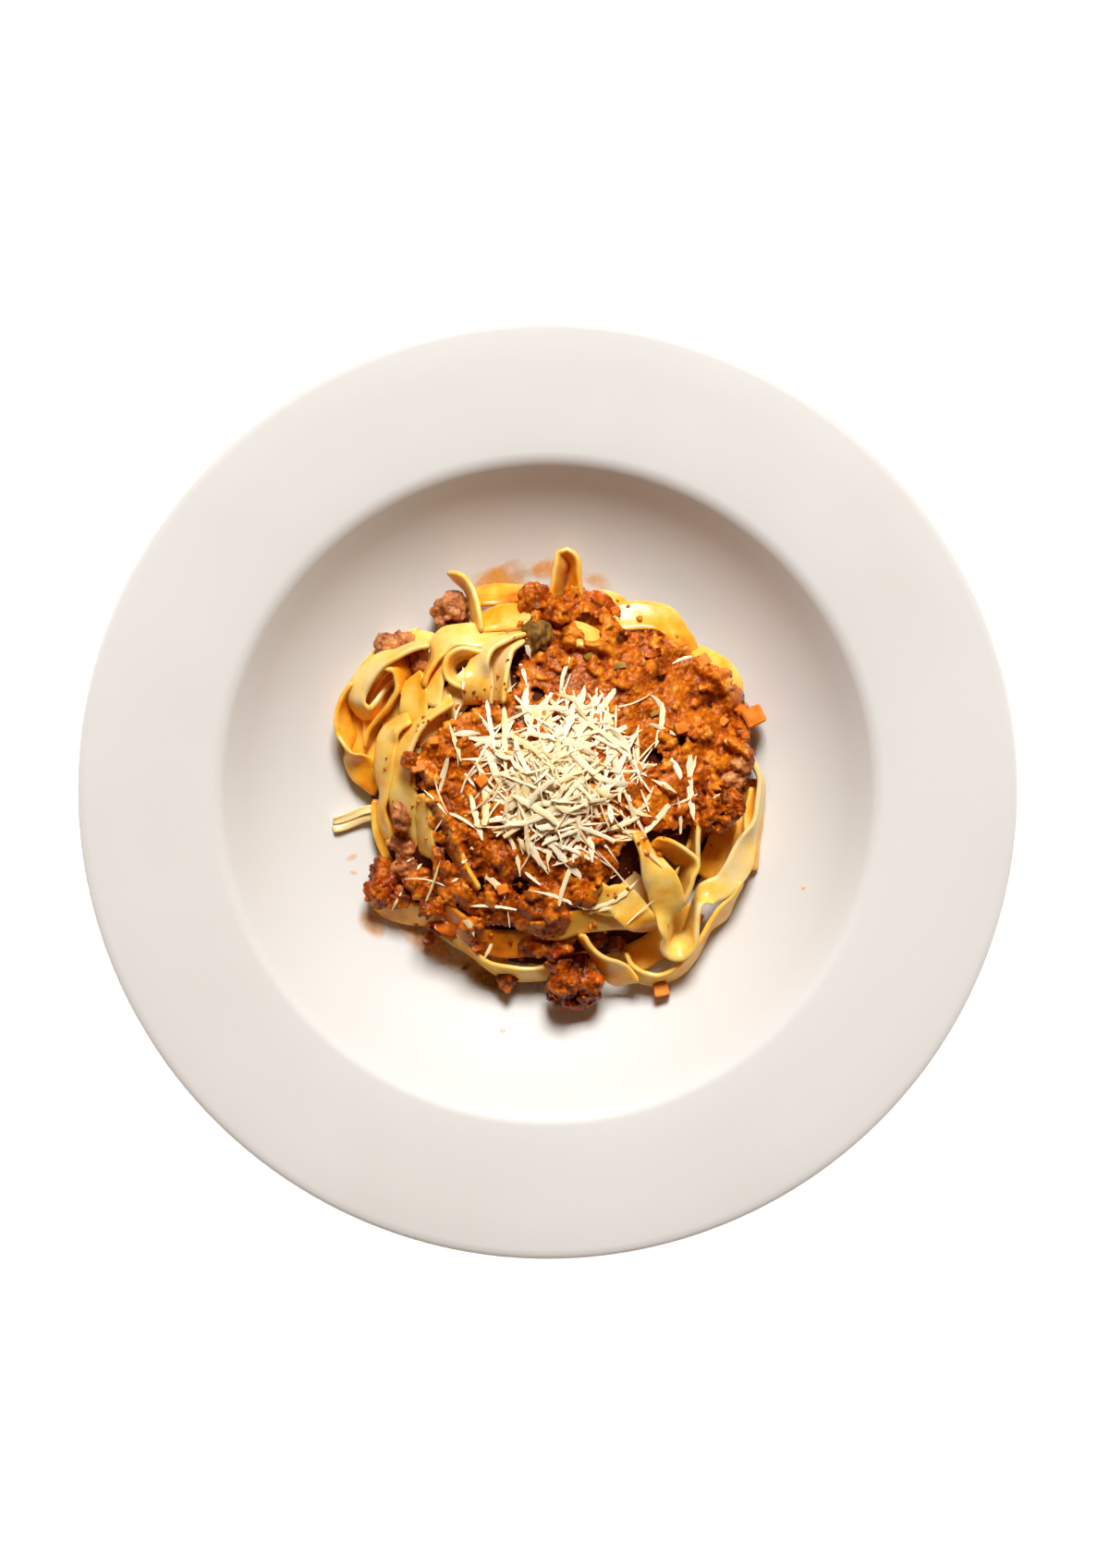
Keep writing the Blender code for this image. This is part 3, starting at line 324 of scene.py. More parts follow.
# A place is the first edge in plan, the second edge in plan, the middle's height and the lean:
# 1 where the first edge is the higher, 0 flat, and left out where it is the lower.
noodles = {
    "leftOuter": (
        (-56.5, 32, -54, 30, 17, 1), (-60.5, 27, -56.6, 25.5, 15.5, 1), (-62, 21, -57, 20, 15.3, 1),
        (-61, 15.5, -56, 16, 15.3, 1), (-58, 11.2, -58.2, 11.6, 15.5, 1), (-54.5, 9.8, -59.4, 8, 15, 1),
        (-50.8, 8.6, -56.8, 2.6, 14.5, 1), (-46, 5, -50.2, -2.8, 14, 1),
    ),
    "leftCurl": (
        (-34, 43, -34.8, 41.8, 25), (-39.5, 42.7, -39, 40.4, 25), (-44.8, 41, -43.8, 37.6, 25),
        (-50, 39.1, -47.8, 35.3, 24), (-55, 34.4, -50.2, 32.8, 22.5), (-58.5, 30, -52, 29.4, 21),
        (-58.8, 25.4, -53.2, 26.2, 20), (-56.2, 22, -52.9, 24.6, 19), (-53.2, 20.1, -51.4, 23.4, 18.5),
        (-50.5, 21.4, -49.4, 25.8, 18), (-48.8, 25.5, -47.6, 28.8, 16.5), (-47, 30.4, -44.8, 31.6, 15.5),
        (-44.6, 34, -41.8, 34, 16),
    ),
    "leftCurlInside": (
        (-46.5, 38.6, -47.5, 34.8, 24), (-42.4, 38.2, -45, 34.4, 24.5), (-40, 35, -44.2, 32.2, 24),
        (-41, 30.6, -44.1, 28.8, 22.5), (-43, 25.6, -46.5, 24.8, 20.5), (-45.2, 21.8, -49.7, 20.6, 18.5),
        (-48.2, 17.8, -52.3, 16.5, 16.5), (-50.8, 13, -53.5, 12, 15),
    ),
    "leftUnder": (
        (-43.5, 32, -36.5, 33, 25), (-42.6, 27.5, -35, 28, 27), (-43, 23, -35.3, 23.5, 27),
        (-43.5, 18, -37, 18, 25.5),
    ),
    "leftStrap": (
        (-43.5, 21.8, -37.5, 21.5, 27), (-47.2, 17.4, -42.6, 18.4, 26), (-50.2, 14.4, -43.6, 13.5, 25),
        (-50.8, 9.5, -44.6, 9, 24.5), (-50.4, 4.5, -45.7, 3.5, 23), (-49.6, -1, -46.6, -1.5, 21),
        (-49.6, -6, -47.3, -6, 19), (-49, -11, -46.3, -11, 17), (-47.5, -16, -44.5, -15, 15.5),
    ),
    "leftBroad": (
        (-28, 28.5, -27.5, 24.5, 32.5), (-32.5, 25.2, -31.2, 21.8, 32), (-37, 21.8, -35.2, 18.4, 31.5),
        (-41, 17.2, -38, 14.5, 31), (-44, 11, -40, 10, 30), (-45.7, 4.5, -38.8, 4.5, 28.5),
        (-46.3, -1.5, -38.2, -1.5, 27), (-45.8, -6.5, -38.8, -6.5, 24.5), (-44, -12, -38.5, -12.5, 20.5),
        (-42, -17, -37, -17.5, 17),
    ),
    "arch": (
        (-38.8, 30.5, -35.2, 31, 26.5), (-36.2, 34.5, -33.3, 35.5, 27), (-34.4, 39.2, -31.2, 39.2, 27.5),
        (-34, 43.2, -28.6, 41.2, 28), (-31.2, 47, -26.5, 41.8, 28.5), (-26, 48.4, -23.5, 41.8, 28.5),
        (-20.5, 48.2, -20, 41.4, 28.5), (-15.6, 47.6, -16.8, 43, 28), (-11, 47.2, -13, 44, 27.5),
    ),
    "ring": (
        (-17, 40, -19.5, 37, 29, 1), (-21.5, 40.6, -22.6, 37.8, 29, 1), (-25.2, 41, -25.6, 37.4, 29.5, 1),
        (-28.6, 38.8, -27.2, 36, 29.5, 1), (-29.6, 35.2, -27.4, 34.6, 29.5, 1),
        (-29, 32.2, -26.6, 33.2, 29.5, 1), (-26.8, 30.2, -25, 32.4, 29.5, 1), (-23.6, 29, -22.6, 31.5, 29, 1),
    ),
    "ringOutside": (
        (-19.5, 42.4, -19.5, 40, 27.5), (-24.5, 42, -24.5, 40.2, 27), (-29, 40.3, -28.5, 37.5, 27),
        (-32.5, 37.2, -30.5, 33.5, 27.5), (-35.5, 33.8, -31, 29.5, 28.5), (-37.5, 30, -31.2, 26, 29),
        (-38.5, 26, -32, 23, 29),
    ),
    "tongue": (
        (-7, 46.5, -7, 44.8, 29), (-11.5, 45.9, -11, 43.6, 30.5), (-16, 43.8, -14.7, 41.9, 32),
        (-20.2, 40.8, -16.4, 39.6, 33.5), (-23.2, 37.4, -16.9, 36.2, 34.5), (-24.8, 33.4, -16.7, 32.5, 35, 0),
        (-25.2, 29.4, -16.6, 29, 34.5, 0), (-24.4, 25.6, -17.6, 25.8, 32, 0), (-23.4, 24.8, -18.6, 25, 28, 0),
    ),
    "tongueBeside": (
        (-10, 44, -7, 43, 30), (-14.5, 41.2, -10, 40.5, 32), (-16, 37, -10.8, 36.5, 33.5),
        (-16.1, 32.5, -11.3, 32, 34), (-16, 28.5, -12, 28.5, 34), (-15.6, 25, -12.5, 25, 34),
    ),
    "backFlat": (
        (-24, 50, -22, 45, 22.5), (-19.8, 51.4, -18, 46.5, 25.5), (-14, 54.2, -12.5, 46.4, 27),
        (-8, 54.8, -7.5, 46.5, 28), (-2, 54, -2, 46, 28.5),
    ),
    "backLow": (
        (-23, 59, -22, 53.5, 17), (-18.5, 60, -18, 53.5, 18.5), (-12, 60.2, -12, 54, 19),
        (-6, 60, -6, 54.5, 19.5), (0, 59, 0, 54, 20),
    ),
    "backStrip": (
        (-27.3, 61.8, -27.5, 60.6, 17, 1), (-23.7, 60.6, -25.4, 59.2, 19.5, 1),
        (-21.4, 57.6, -23.6, 56.4, 21.5, 1), (-20.5, 54, -22.8, 53, 23.5, 1), (-19.9, 50, -22, 49.5, 25.5, 1),
        (-19, 46, -21, 45.5, 26, 1),
    ),
    "topLoop": (
        (2, 50, 6, 49.5, 14, 1), (0.8, 56, 4.6, 56, 14, 1), (1.6, 61.5, 5, 62, 15.5, 1),
        (2.5, 65.5, 6.2, 65, 16.8, 1), (3.2, 69, 6, 67.5, 17, 1), (6, 69.6, 6.5, 66, 17, 1),
        (8.6, 67.5, 6.8, 64, 16.8, 1), (9.6, 63.5, 6, 61, 16.2, 1), (9.8, 58.5, 5.5, 56.5, 15.2, 1),
        (9.5, 52, 5, 49, 14, 1),
    ),
    "topRight": (
        (13, 48, 12, 40, 17.5), (17, 53, 16.5, 45, 18.5), (24, 54.6, 24.5, 46.5, 18.5),
        (31, 54.6, 31, 46.2, 18), (36.2, 53, 33.5, 45, 17.5), (40, 48, 36, 42, 17), (43.3, 42, 38, 36.5, 16),
        (43, 34, 35.5, 29, 14),
    ),
    "topRightOuter": (
        (8, 53, 8, 44.5, 14), (12, 58, 12, 50, 14), (19, 57.5, 18.5, 49.5, 14.5), (24.5, 53, 22.5, 45, 14.5),
        (28, 46, 24, 39, 15),
    ),
    "topPatch": (
        (5, 49.5, 6, 42.5, 27), (9.5, 48.5, 10.5, 41.5, 28.4), (14, 46.8, 15, 40, 27.6), (19, 45, 20, 38, 24.5),
    ),
    "rightEdge": (
        (38, 37, 32.5, 31, 15), (43, 42, 39.5, 35.5, 15.5), (48.5, 40.5, 44.5, 34, 15.5),
        (54, 36.5, 49.5, 30.5, 15.5), (57, 31.3, 51.5, 26.5, 15), (56, 23.5, 49, 21, 14.5),
        (50, 17.5, 43.5, 16, 14.5),
    ),
    "fold": (
        (24.5, -13, 27.8, -12, 36, 1), (26.3, -18.5, 31, -18.2, 36, 1), (27, -24, 35.5, -23.7, 35, 1),
        (28.4, -29, 39.3, -28, 33, 1), (30.4, -34.3, 39.8, -34, 30, 1), (33, -38, 37.4, -38.4, 27.5, 1),
        (34.5, -41.5, 36.2, -41.8, 25, 1), (33.3, -45.4, 36, -43.6, 23, 1), (34.2, -48.8, 37, -42.6, 21.5, 1),
        (38, -50.2, 38.6, -42, 20.8, 1), (41.7, -47.5, 39.8, -41.2, 20.8, 1), (42.8, -43.8, 41, -40, 21, 1),
        (43.2, -39.2, 41.7, -37, 21.5, 1), (44.6, -34.2, 42.7, -32.2, 22, 1), (48.5, -32.6, 45.2, -28, 21.5, 0),
        (54, -31, 49.5, -24.8, 21, 0), (58.5, -25.3, 53, -19.5, 20.5), (60.5, -18, 55.8, -14.3, 19.5),
        (61.8, -11, 59.2, -9.8, 18.5), (62.5, -4, 60.9, -4, 18), (62.9, 2, 61.4, 2, 18),
        (61.2, 7.5, 59.2, 7, 18.5), (58, 12.5, 55.5, 11.5, 20), (54, 16.5, 50, 15, 21),
    ),
    "rightOuter": (
        (63, 1, 58.5, 0, 15), (62.9, -6, 58, -6, 15), (62.5, -12, 57.5, -12, 15), (61.9, -18.5, 57, -17, 15),
        (61, -24.4, 55, -22, 15),
    ),
    "frontOuter": (
        (57.5, -28, 56, -26.5, 16.5), (55, -32.3, 53.3, -31.5, 16.5), (52.3, -37.5, 49.3, -35.8, 16.5),
        (48.2, -41.3, 46.2, -40, 16.5), (45.8, -45.6, 43.5, -44.5, 16.5), (42.5, -50.5, 40.4, -48.8, 16.5),
        (38.3, -55.2, 36.5, -51.8, 16.5), (33, -57.2, 31.8, -53.8, 16.2), (28, -56.2, 27.5, -53.2, 16),
        (24, -53.2, 24.5, -50.6, 16), (21.5, -48.5, 23, -46.5, 16.5),
    ),
    "frontLoop": (
        (31, -13.5, 31, -17, 35, 1), (35.5, -14.3, 34.5, -19, 34, 1), (40, -17.5, 38, -21.5, 32, 1),
        (43, -20.6, 39.8, -23.5, 30.5, 1), (42.7, -24.8, 39.2, -26, 29.5, 1),
        (41.9, -28.8, 38.5, -28.5, 28.5, 1), (40.5, -32.5, 37.5, -31.5, 27, 1),
    ),
    "rightStrip": ((44, -8, 42.4, -8, 26, 1), (44, -14, 42.4, -14, 25, 1), (43.8, -21, 42.6, -21, 22.5, 1)),
    "rightDeep": (
        (55, -9, 49, -9, 17.5, 0), (53, -15, 47.5, -15.5, 16.5, 0), (51, -21, 45, -20.5, 15.5, 0),
        (47.5, -26, 42, -24.5, 14.5, 0),
    ),
    "frontFold": (
        (13, -25.5, 10, -33, 33.5, 1), (18.5, -28.5, 14.5, -36.5, 32.5, 1), (24, -28.2, 19, -37.5, 31.5, 1),
        (28.3, -32.6, 23, -41.2, 29.5, 1), (31.5, -36.8, 28, -41.6, 27, 1), (34, -39.2, 33, -40.8, 25, 1),
    ),
    "frontReturn": (
        (33, -34, 31, -41, 25.5, 1), (25, -34, 24, -41.5, 26.5, 1), (17, -33.5, 16.5, -41.3, 28, 1),
        (9, -35, 8.5, -42.6, 28, 1), (3, -36.5, 2.5, -44, 27.5, 1), (-3, -35, -3.5, -42.5, 27.5, 1),
        (-8, -32.5, -9, -39.5, 28, 1),
    ),
    "frontLeft": (
        (-31.5, -29.5, -35, -35.5, 25, 1), (-24.5, -36.8, -28, -41, 24, 1), (-19.5, -40, -23.5, -46.2, 23, 1),
        (-13.5, -41, -16.5, -48.9, 22, 1), (-7.5, -41.5, -8.5, -49, 21.5, 1), (-1.5, -42, -1.5, -48.5, 21.5, 1),
        (4, -42, 4.5, -48, 22, 1),
    ),
    "frontEdge": (
        (-27.5, -44.5, -25.5, -42, 18), (-22.5, -49, -21.5, -46.8, 17.2), (-17.5, -53, -17, -50.3, 16.8),
        (-11.5, -55.5, -11.5, -52, 16.5), (-5, -56.6, -5.2, -51.9, 16.3), (0.5, -55.5, 0, -50.8, 16.5),
        (5.5, -52, 4.5, -48, 17),
    ),
    "frontDrop": (
        (8.5, -42.5, 10, -42, 25), (10.3, -45.5, 12, -45, 24), (12.8, -49.3, 16, -48.3, 22.5),
        (15.5, -53.3, 20, -49.7, 20.5), (18.3, -56.8, 23, -51.2, 18.5), (21.5, -58.8, 25.4, -54.7, 16),
    ),
    "leftFront": (
        (-36, -3.5, -31.5, -2.5, 31), (-33.5, -9, -29, -8, 31.5), (-31, -14.5, -26.8, -13, 31.5),
        (-28.8, -19.5, -24.5, -18.5, 31.5), (-26, -25, -22.2, -24, 31), (-22.5, -30.2, -19.8, -29, 30.5),
    ),
    "leftShort": (
        (-40, -2, -36, -1, 29), (-39, -8, -34, -7.5, 28.5), (-38.3, -14, -33.3, -13.5, 27),
        (-37, -20, -32.5, -19.5, 24.5),
    ),
    "lowLeft": (
        (-52.5, -32, -48, -28, 13.5), (-49.5, -36.5, -45.5, -31, 13.5), (-43, -39, -40.5, -33, 14),
        (-36.5, -40, -35, -33.5, 15.5), (-30, -39, -29.5, -33, 18),
    ),
    "upperLeft": (
        (-50.5, 41, -47, 36, 15.5), (-46, 44.5, -43, 38.5, 16.5), (-40, 46.3, -39, 39.5, 18),
        (-34, 46, -34, 39.5, 20),
    ),
}
# noodles lying flat between the others, and low under them: middle line in plan and height
between = {
    "leftFill": ((-19, 34, 27), (-26.5, 27, 28.6), (-32, 19, 29.3), (-35.5, 10, 29), (-37.5, 1, 27.5)),
    "tongueFill": ((-13, 43, 28), (-15.5, 37, 30), (-15.2, 30, 30.5), (-14, 25, 30)),
    "frontFill": ((14, -24, 27), (22, -27, 26.5), (27, -33, 25), (25, -40, 23)),
}
beneath = {
    "leftRim": (
        (-36, 43, 12), (-46, 38.5, 12.4), (-53.5, 30, 12.6), (-56.3, 20, 12.4), (-54, 10, 12.2), (-48, 1, 12),
    ),
    "leftInner": (
        (-34, 34, 15), (-43, 31, 15.5), (-48.5, 22, 15.5), (-49, 12, 15), (-45.5, 2, 14.5), (-43, -8, 13),
    ),
    "leftHeart": ((-30, 38, 17), (-39, 30, 19), (-43.5, 20, 19), (-43, 10, 18), (-41, 0, 17)),
    "frontLeft": ((-43, -16, 12), (-40, -27, 11.5), (-32, -37, 11.3), (-22, -44, 11), (-11, -48, 11)),
    "frontRight": ((-6, -47, 10), (6, -47, 10), (18, -46, 10), (29, -40, 10), (38, -31, 10.5)),
    "leftLow": ((-47, -3, 13), (-46.5, -12, 13), (-42, -22, 12.5)),
    "frontGap": ((22, -50, 11.5), (27, -48.5, 12), (36, -42.5, 12), (42.5, -34.5, 11.5)),
    "rightGap": ((57, 3, 14.5), (56.5, -7, 14.5), (53, -17, 14), (47, -26, 13)),
}
# a broken end, split in two strips: both edges in plan and height
noodleTip = ((-44, -3.5, -44, -6.5, 12.5), (-49.5, -4.8, -49.6, -8.2, 11.5), (-54, -6, -54.2, -9.2, 10.5),
             (-58.5, -8, -58.2, -10.8, 10), (-62.8, -9.6, -62.4, -11.6, 10))
noodle = {"width": 9.2, "thick": 1.5, "tipWidth": 2.2, "spacing": 1.1, "across": 9, "wave": 0.35, "cup": 0.35,
          "flankCount": 14, "flankSweep": 52, "flankRadius": 46, "flankLow": (12.8, 18), "pale": "#fddc9a",
          "body": "#ffd066", "oily": "#fcae26", "deep": "#dc760a", "dark": "#742a02", "level": 30,
          "spread": 0.0012, "tipApart": 1.2, "tipThick": 1.3, "tipStep": 0.9, "tipStain": -0.5, "stainAndShading": 0.04,
          "clean": -0.26, "sauced": 0.12}
# how much oil and sauce a noodle took up, beside the rest, with painted shade making some noodles that lie in shadow
# darker: all along it, or at its start and end
noodleStainAndShading = {"leftOuter": 0.22, "leftCurl": -0.04, "leftCurlInside": 0.2, "leftStrap": 0.1, "leftBroad": 0,
               "leftUnder": 0.1, "arch": 0.02, "ringOutside": 0, "ring": 0.05, "tongue": -0.04,
               "tongueBeside": -0.12, "backFlat": 0.14, "backLow": 0.34, "topLoop": 0.12, "topRight": 0.16,
               "frontLeft": 0.34, "frontEdge": 0.16, "lowLeft": 0.26, "topRightOuter": 0.1, "topPatch": -0.12,
               "rightEdge": 0, "fold": (0.08, -0.24), "frontReturn": 0.04, "frontFold": 0.06, "frontDrop": 0.12,
               "rightOuter": 0.08, "rightDeep": 0.3, "frontOuter": 0.08}


def cookedEggPasta(name, extra):
    # durum and egg dough, boiled: soft and slightly clear, glossed by oil and stained orange; the darker orange where
    # it lies close is partly painted shade
    material, tree = startMaterial(name)
    small = addNoise(tree, 3.0, 3.0, 0.6)
    total = addSum(tree, addNoise(tree, 10.0, 3.0, 0.55), addAttribute(tree, "stainAndShading"), 1.0, extra - 0.5)
    total = addSum(tree, small, total, 0.3, -0.15)
    colour = addRamp(tree, total, (0.0, noodle["pale"]), (0.24, noodle["body"]), (0.5, noodle["oily"]),
                     (0.76, noodle["deep"]), (1.0, noodle["dark"]))
    finishMaterial(tree, {
        "IOR": 1.45, "Coat Weight": 0.2, "Coat Roughness": 0.15, **soft(0.35, (0.0014, 0.0009, 0.0003))}, {
        "Base Color": colour, "Normal": addBump(tree, addNoise(tree, 1.6, 3.0), 0.22, 0.0004),
        "Roughness": addSpan(tree, small, 0.0, 1.0, 0.22, 0.42)})
    return material


def edgePlaces(places, width):
    # both edges in space; a noodle lower than the rest lies a little farther out than it is seen
    clear = gap + noodle["thick"] * 0.6
    for x1, y1, x2, y2, z, *lean in places:
        out = 1 + (noodle["level"] - z) * noodle["spread"]
        lean = lean[0] if lean else -1
        rise = lean * math.sqrt(max(0.0, width ** 2 - math.hypot(x1 - x2, y1 - y2) ** 2)) / 2
        pair = [x1 * out, y1 * out, z + rise, x2 * out, y2 * out, z - rise]
        lift = max(0.0, bowlZ(*pair[:2]) + clear - pair[2], bowlZ(*pair[3:5]) + clear - pair[5])
        yield [v + lift * (k % 3 == 2) for k, v in enumerate(pair)]


def noodleRings(places, width, spacing):
    # evenly spaced places along a noodle, each with centre, across, up, half width and run
    columns = list(zip(*edgePlaces(places, width)))
    spans = len(places) - 1
    dense = []
    for k in range(spans * 16 + 1):
        index = min(k // 16, spans - 1)
        dense.append([smoothValue(column, index, k / 16 - index) for column in columns])
    dense = np.array(dense)
    middle = (dense[:, :3] + dense[:, 3:]) / 2
    run = np.concatenate([[0], np.cumsum(np.linalg.norm(np.diff(middle, axis=0), axis=1))])
    count = max(4, int(run[-1] / spacing))
    at = np.linspace(0, run[-1], count + 1)
    places = np.stack([np.interp(at, run, dense[:, c]) for c in range(6)], axis=1)
    centres = (places[:, :3] + places[:, 3:]) / 2
    rings = []
    for k in range(count + 1):
        ahead = Vector(centres[min(k + 1, count)] - centres[max(k - 1, 0)]).normalized()
        across = Vector(places[k, :3] - places[k, 3:])
        half = min(max(across.length / 2, width * 0.42), width * 0.56)
        across = (across - ahead * across.dot(ahead)).normalized()
        rings.append((Vector(centres[k]), across, ahead.cross(across), half, at[k]))
    return rings


def ribbonSection(across):
    # outline of a noodle's cut end: flat faces, soft corners; u runs -1 to 1, v is -1 or 1 at the faces
    outline = [(u, 1.0) for u in np.linspace(-0.9, 0.9, across)]
    outline += [(0.985, 0.55), (1.0, 0.0), (0.985, -0.55)]
    outline += [(u, -1.0) for u in np.linspace(0.9, -0.9, across)]
    outline += [(-0.985, -0.55), (-1.0, 0.0), (-0.985, 0.55)]
    return outline


def ribbonMesh(places, width, thick, seed, stainAndShading, points, faces, stainsAndShading):
    rings = noodleRings(places, width, noodle["spacing"])
    section = ribbonSection(noodle["across"])
    count = len(section)
    draw = random.Random(seed)
    phases = [draw.uniform(0, 6.28) for _ in range(4)]
    waveLength = draw.uniform(15, 24)
    first, last = stainAndShading if isinstance(stainAndShading, tuple) else (stainAndShading, stainAndShading)
    start = len(points)
    for k, (centre, across, up, half, at) in enumerate(rings):
        fade = min(1.0, (k + 0.6) / 1.6, (len(rings) - k - 0.4) / 1.6)
        wide = half * (1 + 0.04 * math.sin(at / 9 + phases[0])) * (0.86 + 0.14 * fade)
        deep = thick / 2 * (0.55 + 0.45 * fade)
        cup = noodle["cup"] * math.sin(at / 17 + phases[1])
        for u, v in section:
            lift = cup * (u * u - 0.35) + noodle["wave"] * u * math.sin(at * 6.28 / waveLength + phases[2])
            rough = 0.12 * noise.noise(Vector((at * 0.35, u * 2.5, seed * 3.7)))
            place = centre + across * (u * wide) + up * (v * deep + lift + rough)
            place.z = max(place.z, bowlZ(place.x, place.y) + gap)
            points.append(place)
            # paler along the outer edges: a painted highlight where the edges catch the light
            stainsAndShading.append(first + (last - first) * at / rings[-1][4] - (abs(u) > 0.95) * 0.1)
    for k in range(len(rings) - 1):
        for s in range(count):
            a = start + k * count + s
            b = start + k * count + (s + 1) % count
            faces.append((a, b, b + count, a + count))
    for end, turn in ((start, -1), (start + (len(rings) - 1) * count, 1)):
        middle = len(points)
        points.append(sum((points[end + s] for s in range(count)), Vector()) / count)
        stainsAndShading.append(first if turn < 0 else last)
        for s in range(count):
            pair = (end + s, end + (s + 1) % count)
            faces.append((middle, *pair) if turn > 0 else (middle, *pair[::-1]))


def flatNoodles(lines):
    for line in lines.values():
        places = []
        for k, (x, y, z) in enumerate(line):
            (x1, y1, _), (x2, y2, _) = line[max(k - 1, 0)], line[min(k + 1, len(line) - 1)]
            along = Vector((x2 - x1, y2 - y1)).normalized() * noodle["width"] / 2
            places.append((x - along.y, y + along.x, x + along.y, y - along.x, z, 1))
        yield places


def flankNoodles():
    draw = random.Random(11)
    for k in range(noodle["flankCount"]):
        start = 2 * math.pi * k / noodle["flankCount"] + draw.uniform(-0.15, 0.15)
        low = draw.uniform(*noodle["flankLow"])
        outer = noodle["flankRadius"] + 3.0
        inner = noodle["flankRadius"] - 2.4
        angles = [start + math.radians(noodle["flankSweep"]) * share for share in (0.0, 0.33, 0.67, 1.0)]
        yield [(outer * math.cos(a), outer * math.sin(a), inner * math.cos(a), inner * math.sin(a),
                low + 2.0 * math.sin(math.pi * k / 3)) for k, a in enumerate(angles)]


def makeNoodles():
    points, faces, stainsAndShading = [], [], []
    for seed, (name, places) in enumerate(noodles.items()):
        stainAndShading = noodleStainAndShading.get(name, noodle["stainAndShading"])
        ribbonMesh(places, noodle["width"], noodle["thick"], seed, stainAndShading, points, faces, stainsAndShading)
    for seed, places in enumerate(flatNoodles(between)):
        ribbonMesh(places, noodle["width"], noodle["thick"], 50 + seed, noodle["clean"], points, faces, stainsAndShading)
    for side in (-1, 1):
        apart, step = side * noodle["tipApart"], (side > 0) * noodle["tipStep"]
        shift = [(x1, y1 + apart, x2, y2 + apart, z + step, 0) for x1, y1, x2, y2, z in noodleTip]
        ribbonMesh(shift, noodle["tipWidth"], noodle["tipThick"], 70 + side, noodle["tipStain"], points, faces, stainsAndShading)
    obj = makeMesh("fettuccine_noodles", points, faces, cookedEggPasta("cooked_egg_pasta", 0.0))
    setNumbers(obj, "stainAndShading", stainsAndShading)
    points, faces, stainsAndShading = [], [], []
    for seed, places in enumerate([*flankNoodles(), *flatNoodles(beneath)]):
        ribbonMesh(places, noodle["width"], noodle["thick"], 100 + seed, 0.0, points, faces, stainsAndShading)
    under = makeMesh("fettuccine_under", points, faces, cookedEggPasta("sauced_egg_pasta", noodle["sauced"]))
    setNumbers(under, "stainAndShading", stainsAndShading)
    for piece in (obj, under):
        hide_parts("pasta")
        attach(piece, "root")
    print("noodles laid")
    return [obj, under]


def stainAndShadeNoodles(objects, blockers):
    # oil and tomato beside the sauce stain the noodles; where a noodle is closed in by noodles, core or sauce it is
    # darkened, partly by oil gathered there and partly by painted shade
    tree = treeOf(blockers)
    for seed, obj in enumerate(objects):
        closed = shelter(obj, tree, 7.0, 9, seed)
        points = meshArrays(obj)
        share = sauceShare(points[:, 0], points[:, 1])
        beside = np.clip((1.16 - share) / 0.2, 0, 1) * 0.1
        base = np.empty(len(points), dtype=np.float32)
        obj.data.attributes["stainAndShading"].data.foreach_get("value", base)
        obj.data.attributes["stainAndShading"].data.foreach_set(
            "value", (base + closed * 0.44 - 0.06 + beside).astype(np.float32))
    print("noodles stained")


def makeCore(material):
    # a closed heap a little inside the noodles, sauced dark: painted shade where it shows through holes and gaps
    rings, spokes = 26, 72
    points, faces = [Vector((0, 0, heapZ(0, 0) - 2.0))], []
    for ring in range(1, rings + 1):
        share = ring / rings
        for spoke in range(spokes):
            angle = 2 * math.pi * spoke / spokes
            radius = heap["core"] * math.sin(share * math.pi / 2)
            x, y = radius * math.cos(angle), radius * math.sin(angle)
            edge = max(0.0, 1 - (radius / heap["core"]) ** 4) ** 0.5
            z = floorZ + gap + 0.2 + (heapZ(x, y) - floorZ - 3.0) * edge
            z += 0.9 * noise.noise(Vector((x, y, z)) * 0.25)
            points.append(Vector((x, y, max(z, floorZ + gap))))
    for spoke in range(spokes):
        after = (spoke + 1) % spokes
        faces.append((0, 1 + spoke, 1 + after))
        for ring in range(rings - 1):
            a, b = 1 + ring * spokes + spoke, 1 + ring * spokes + after
            faces.append((a, a + spokes, b + spokes, b))
    base = len(points)
    points.append(Vector((0, 0, floorZ + gap)))
    last = 1 + (rings - 1) * spokes
    for spoke in range(spokes):
        faces.append((base, last + (spoke + 1) % spokes, last + spoke))
    obj = makeMesh("sauced_heap", points, faces, material)
    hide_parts("pasta")
    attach(obj, "root")
    return obj


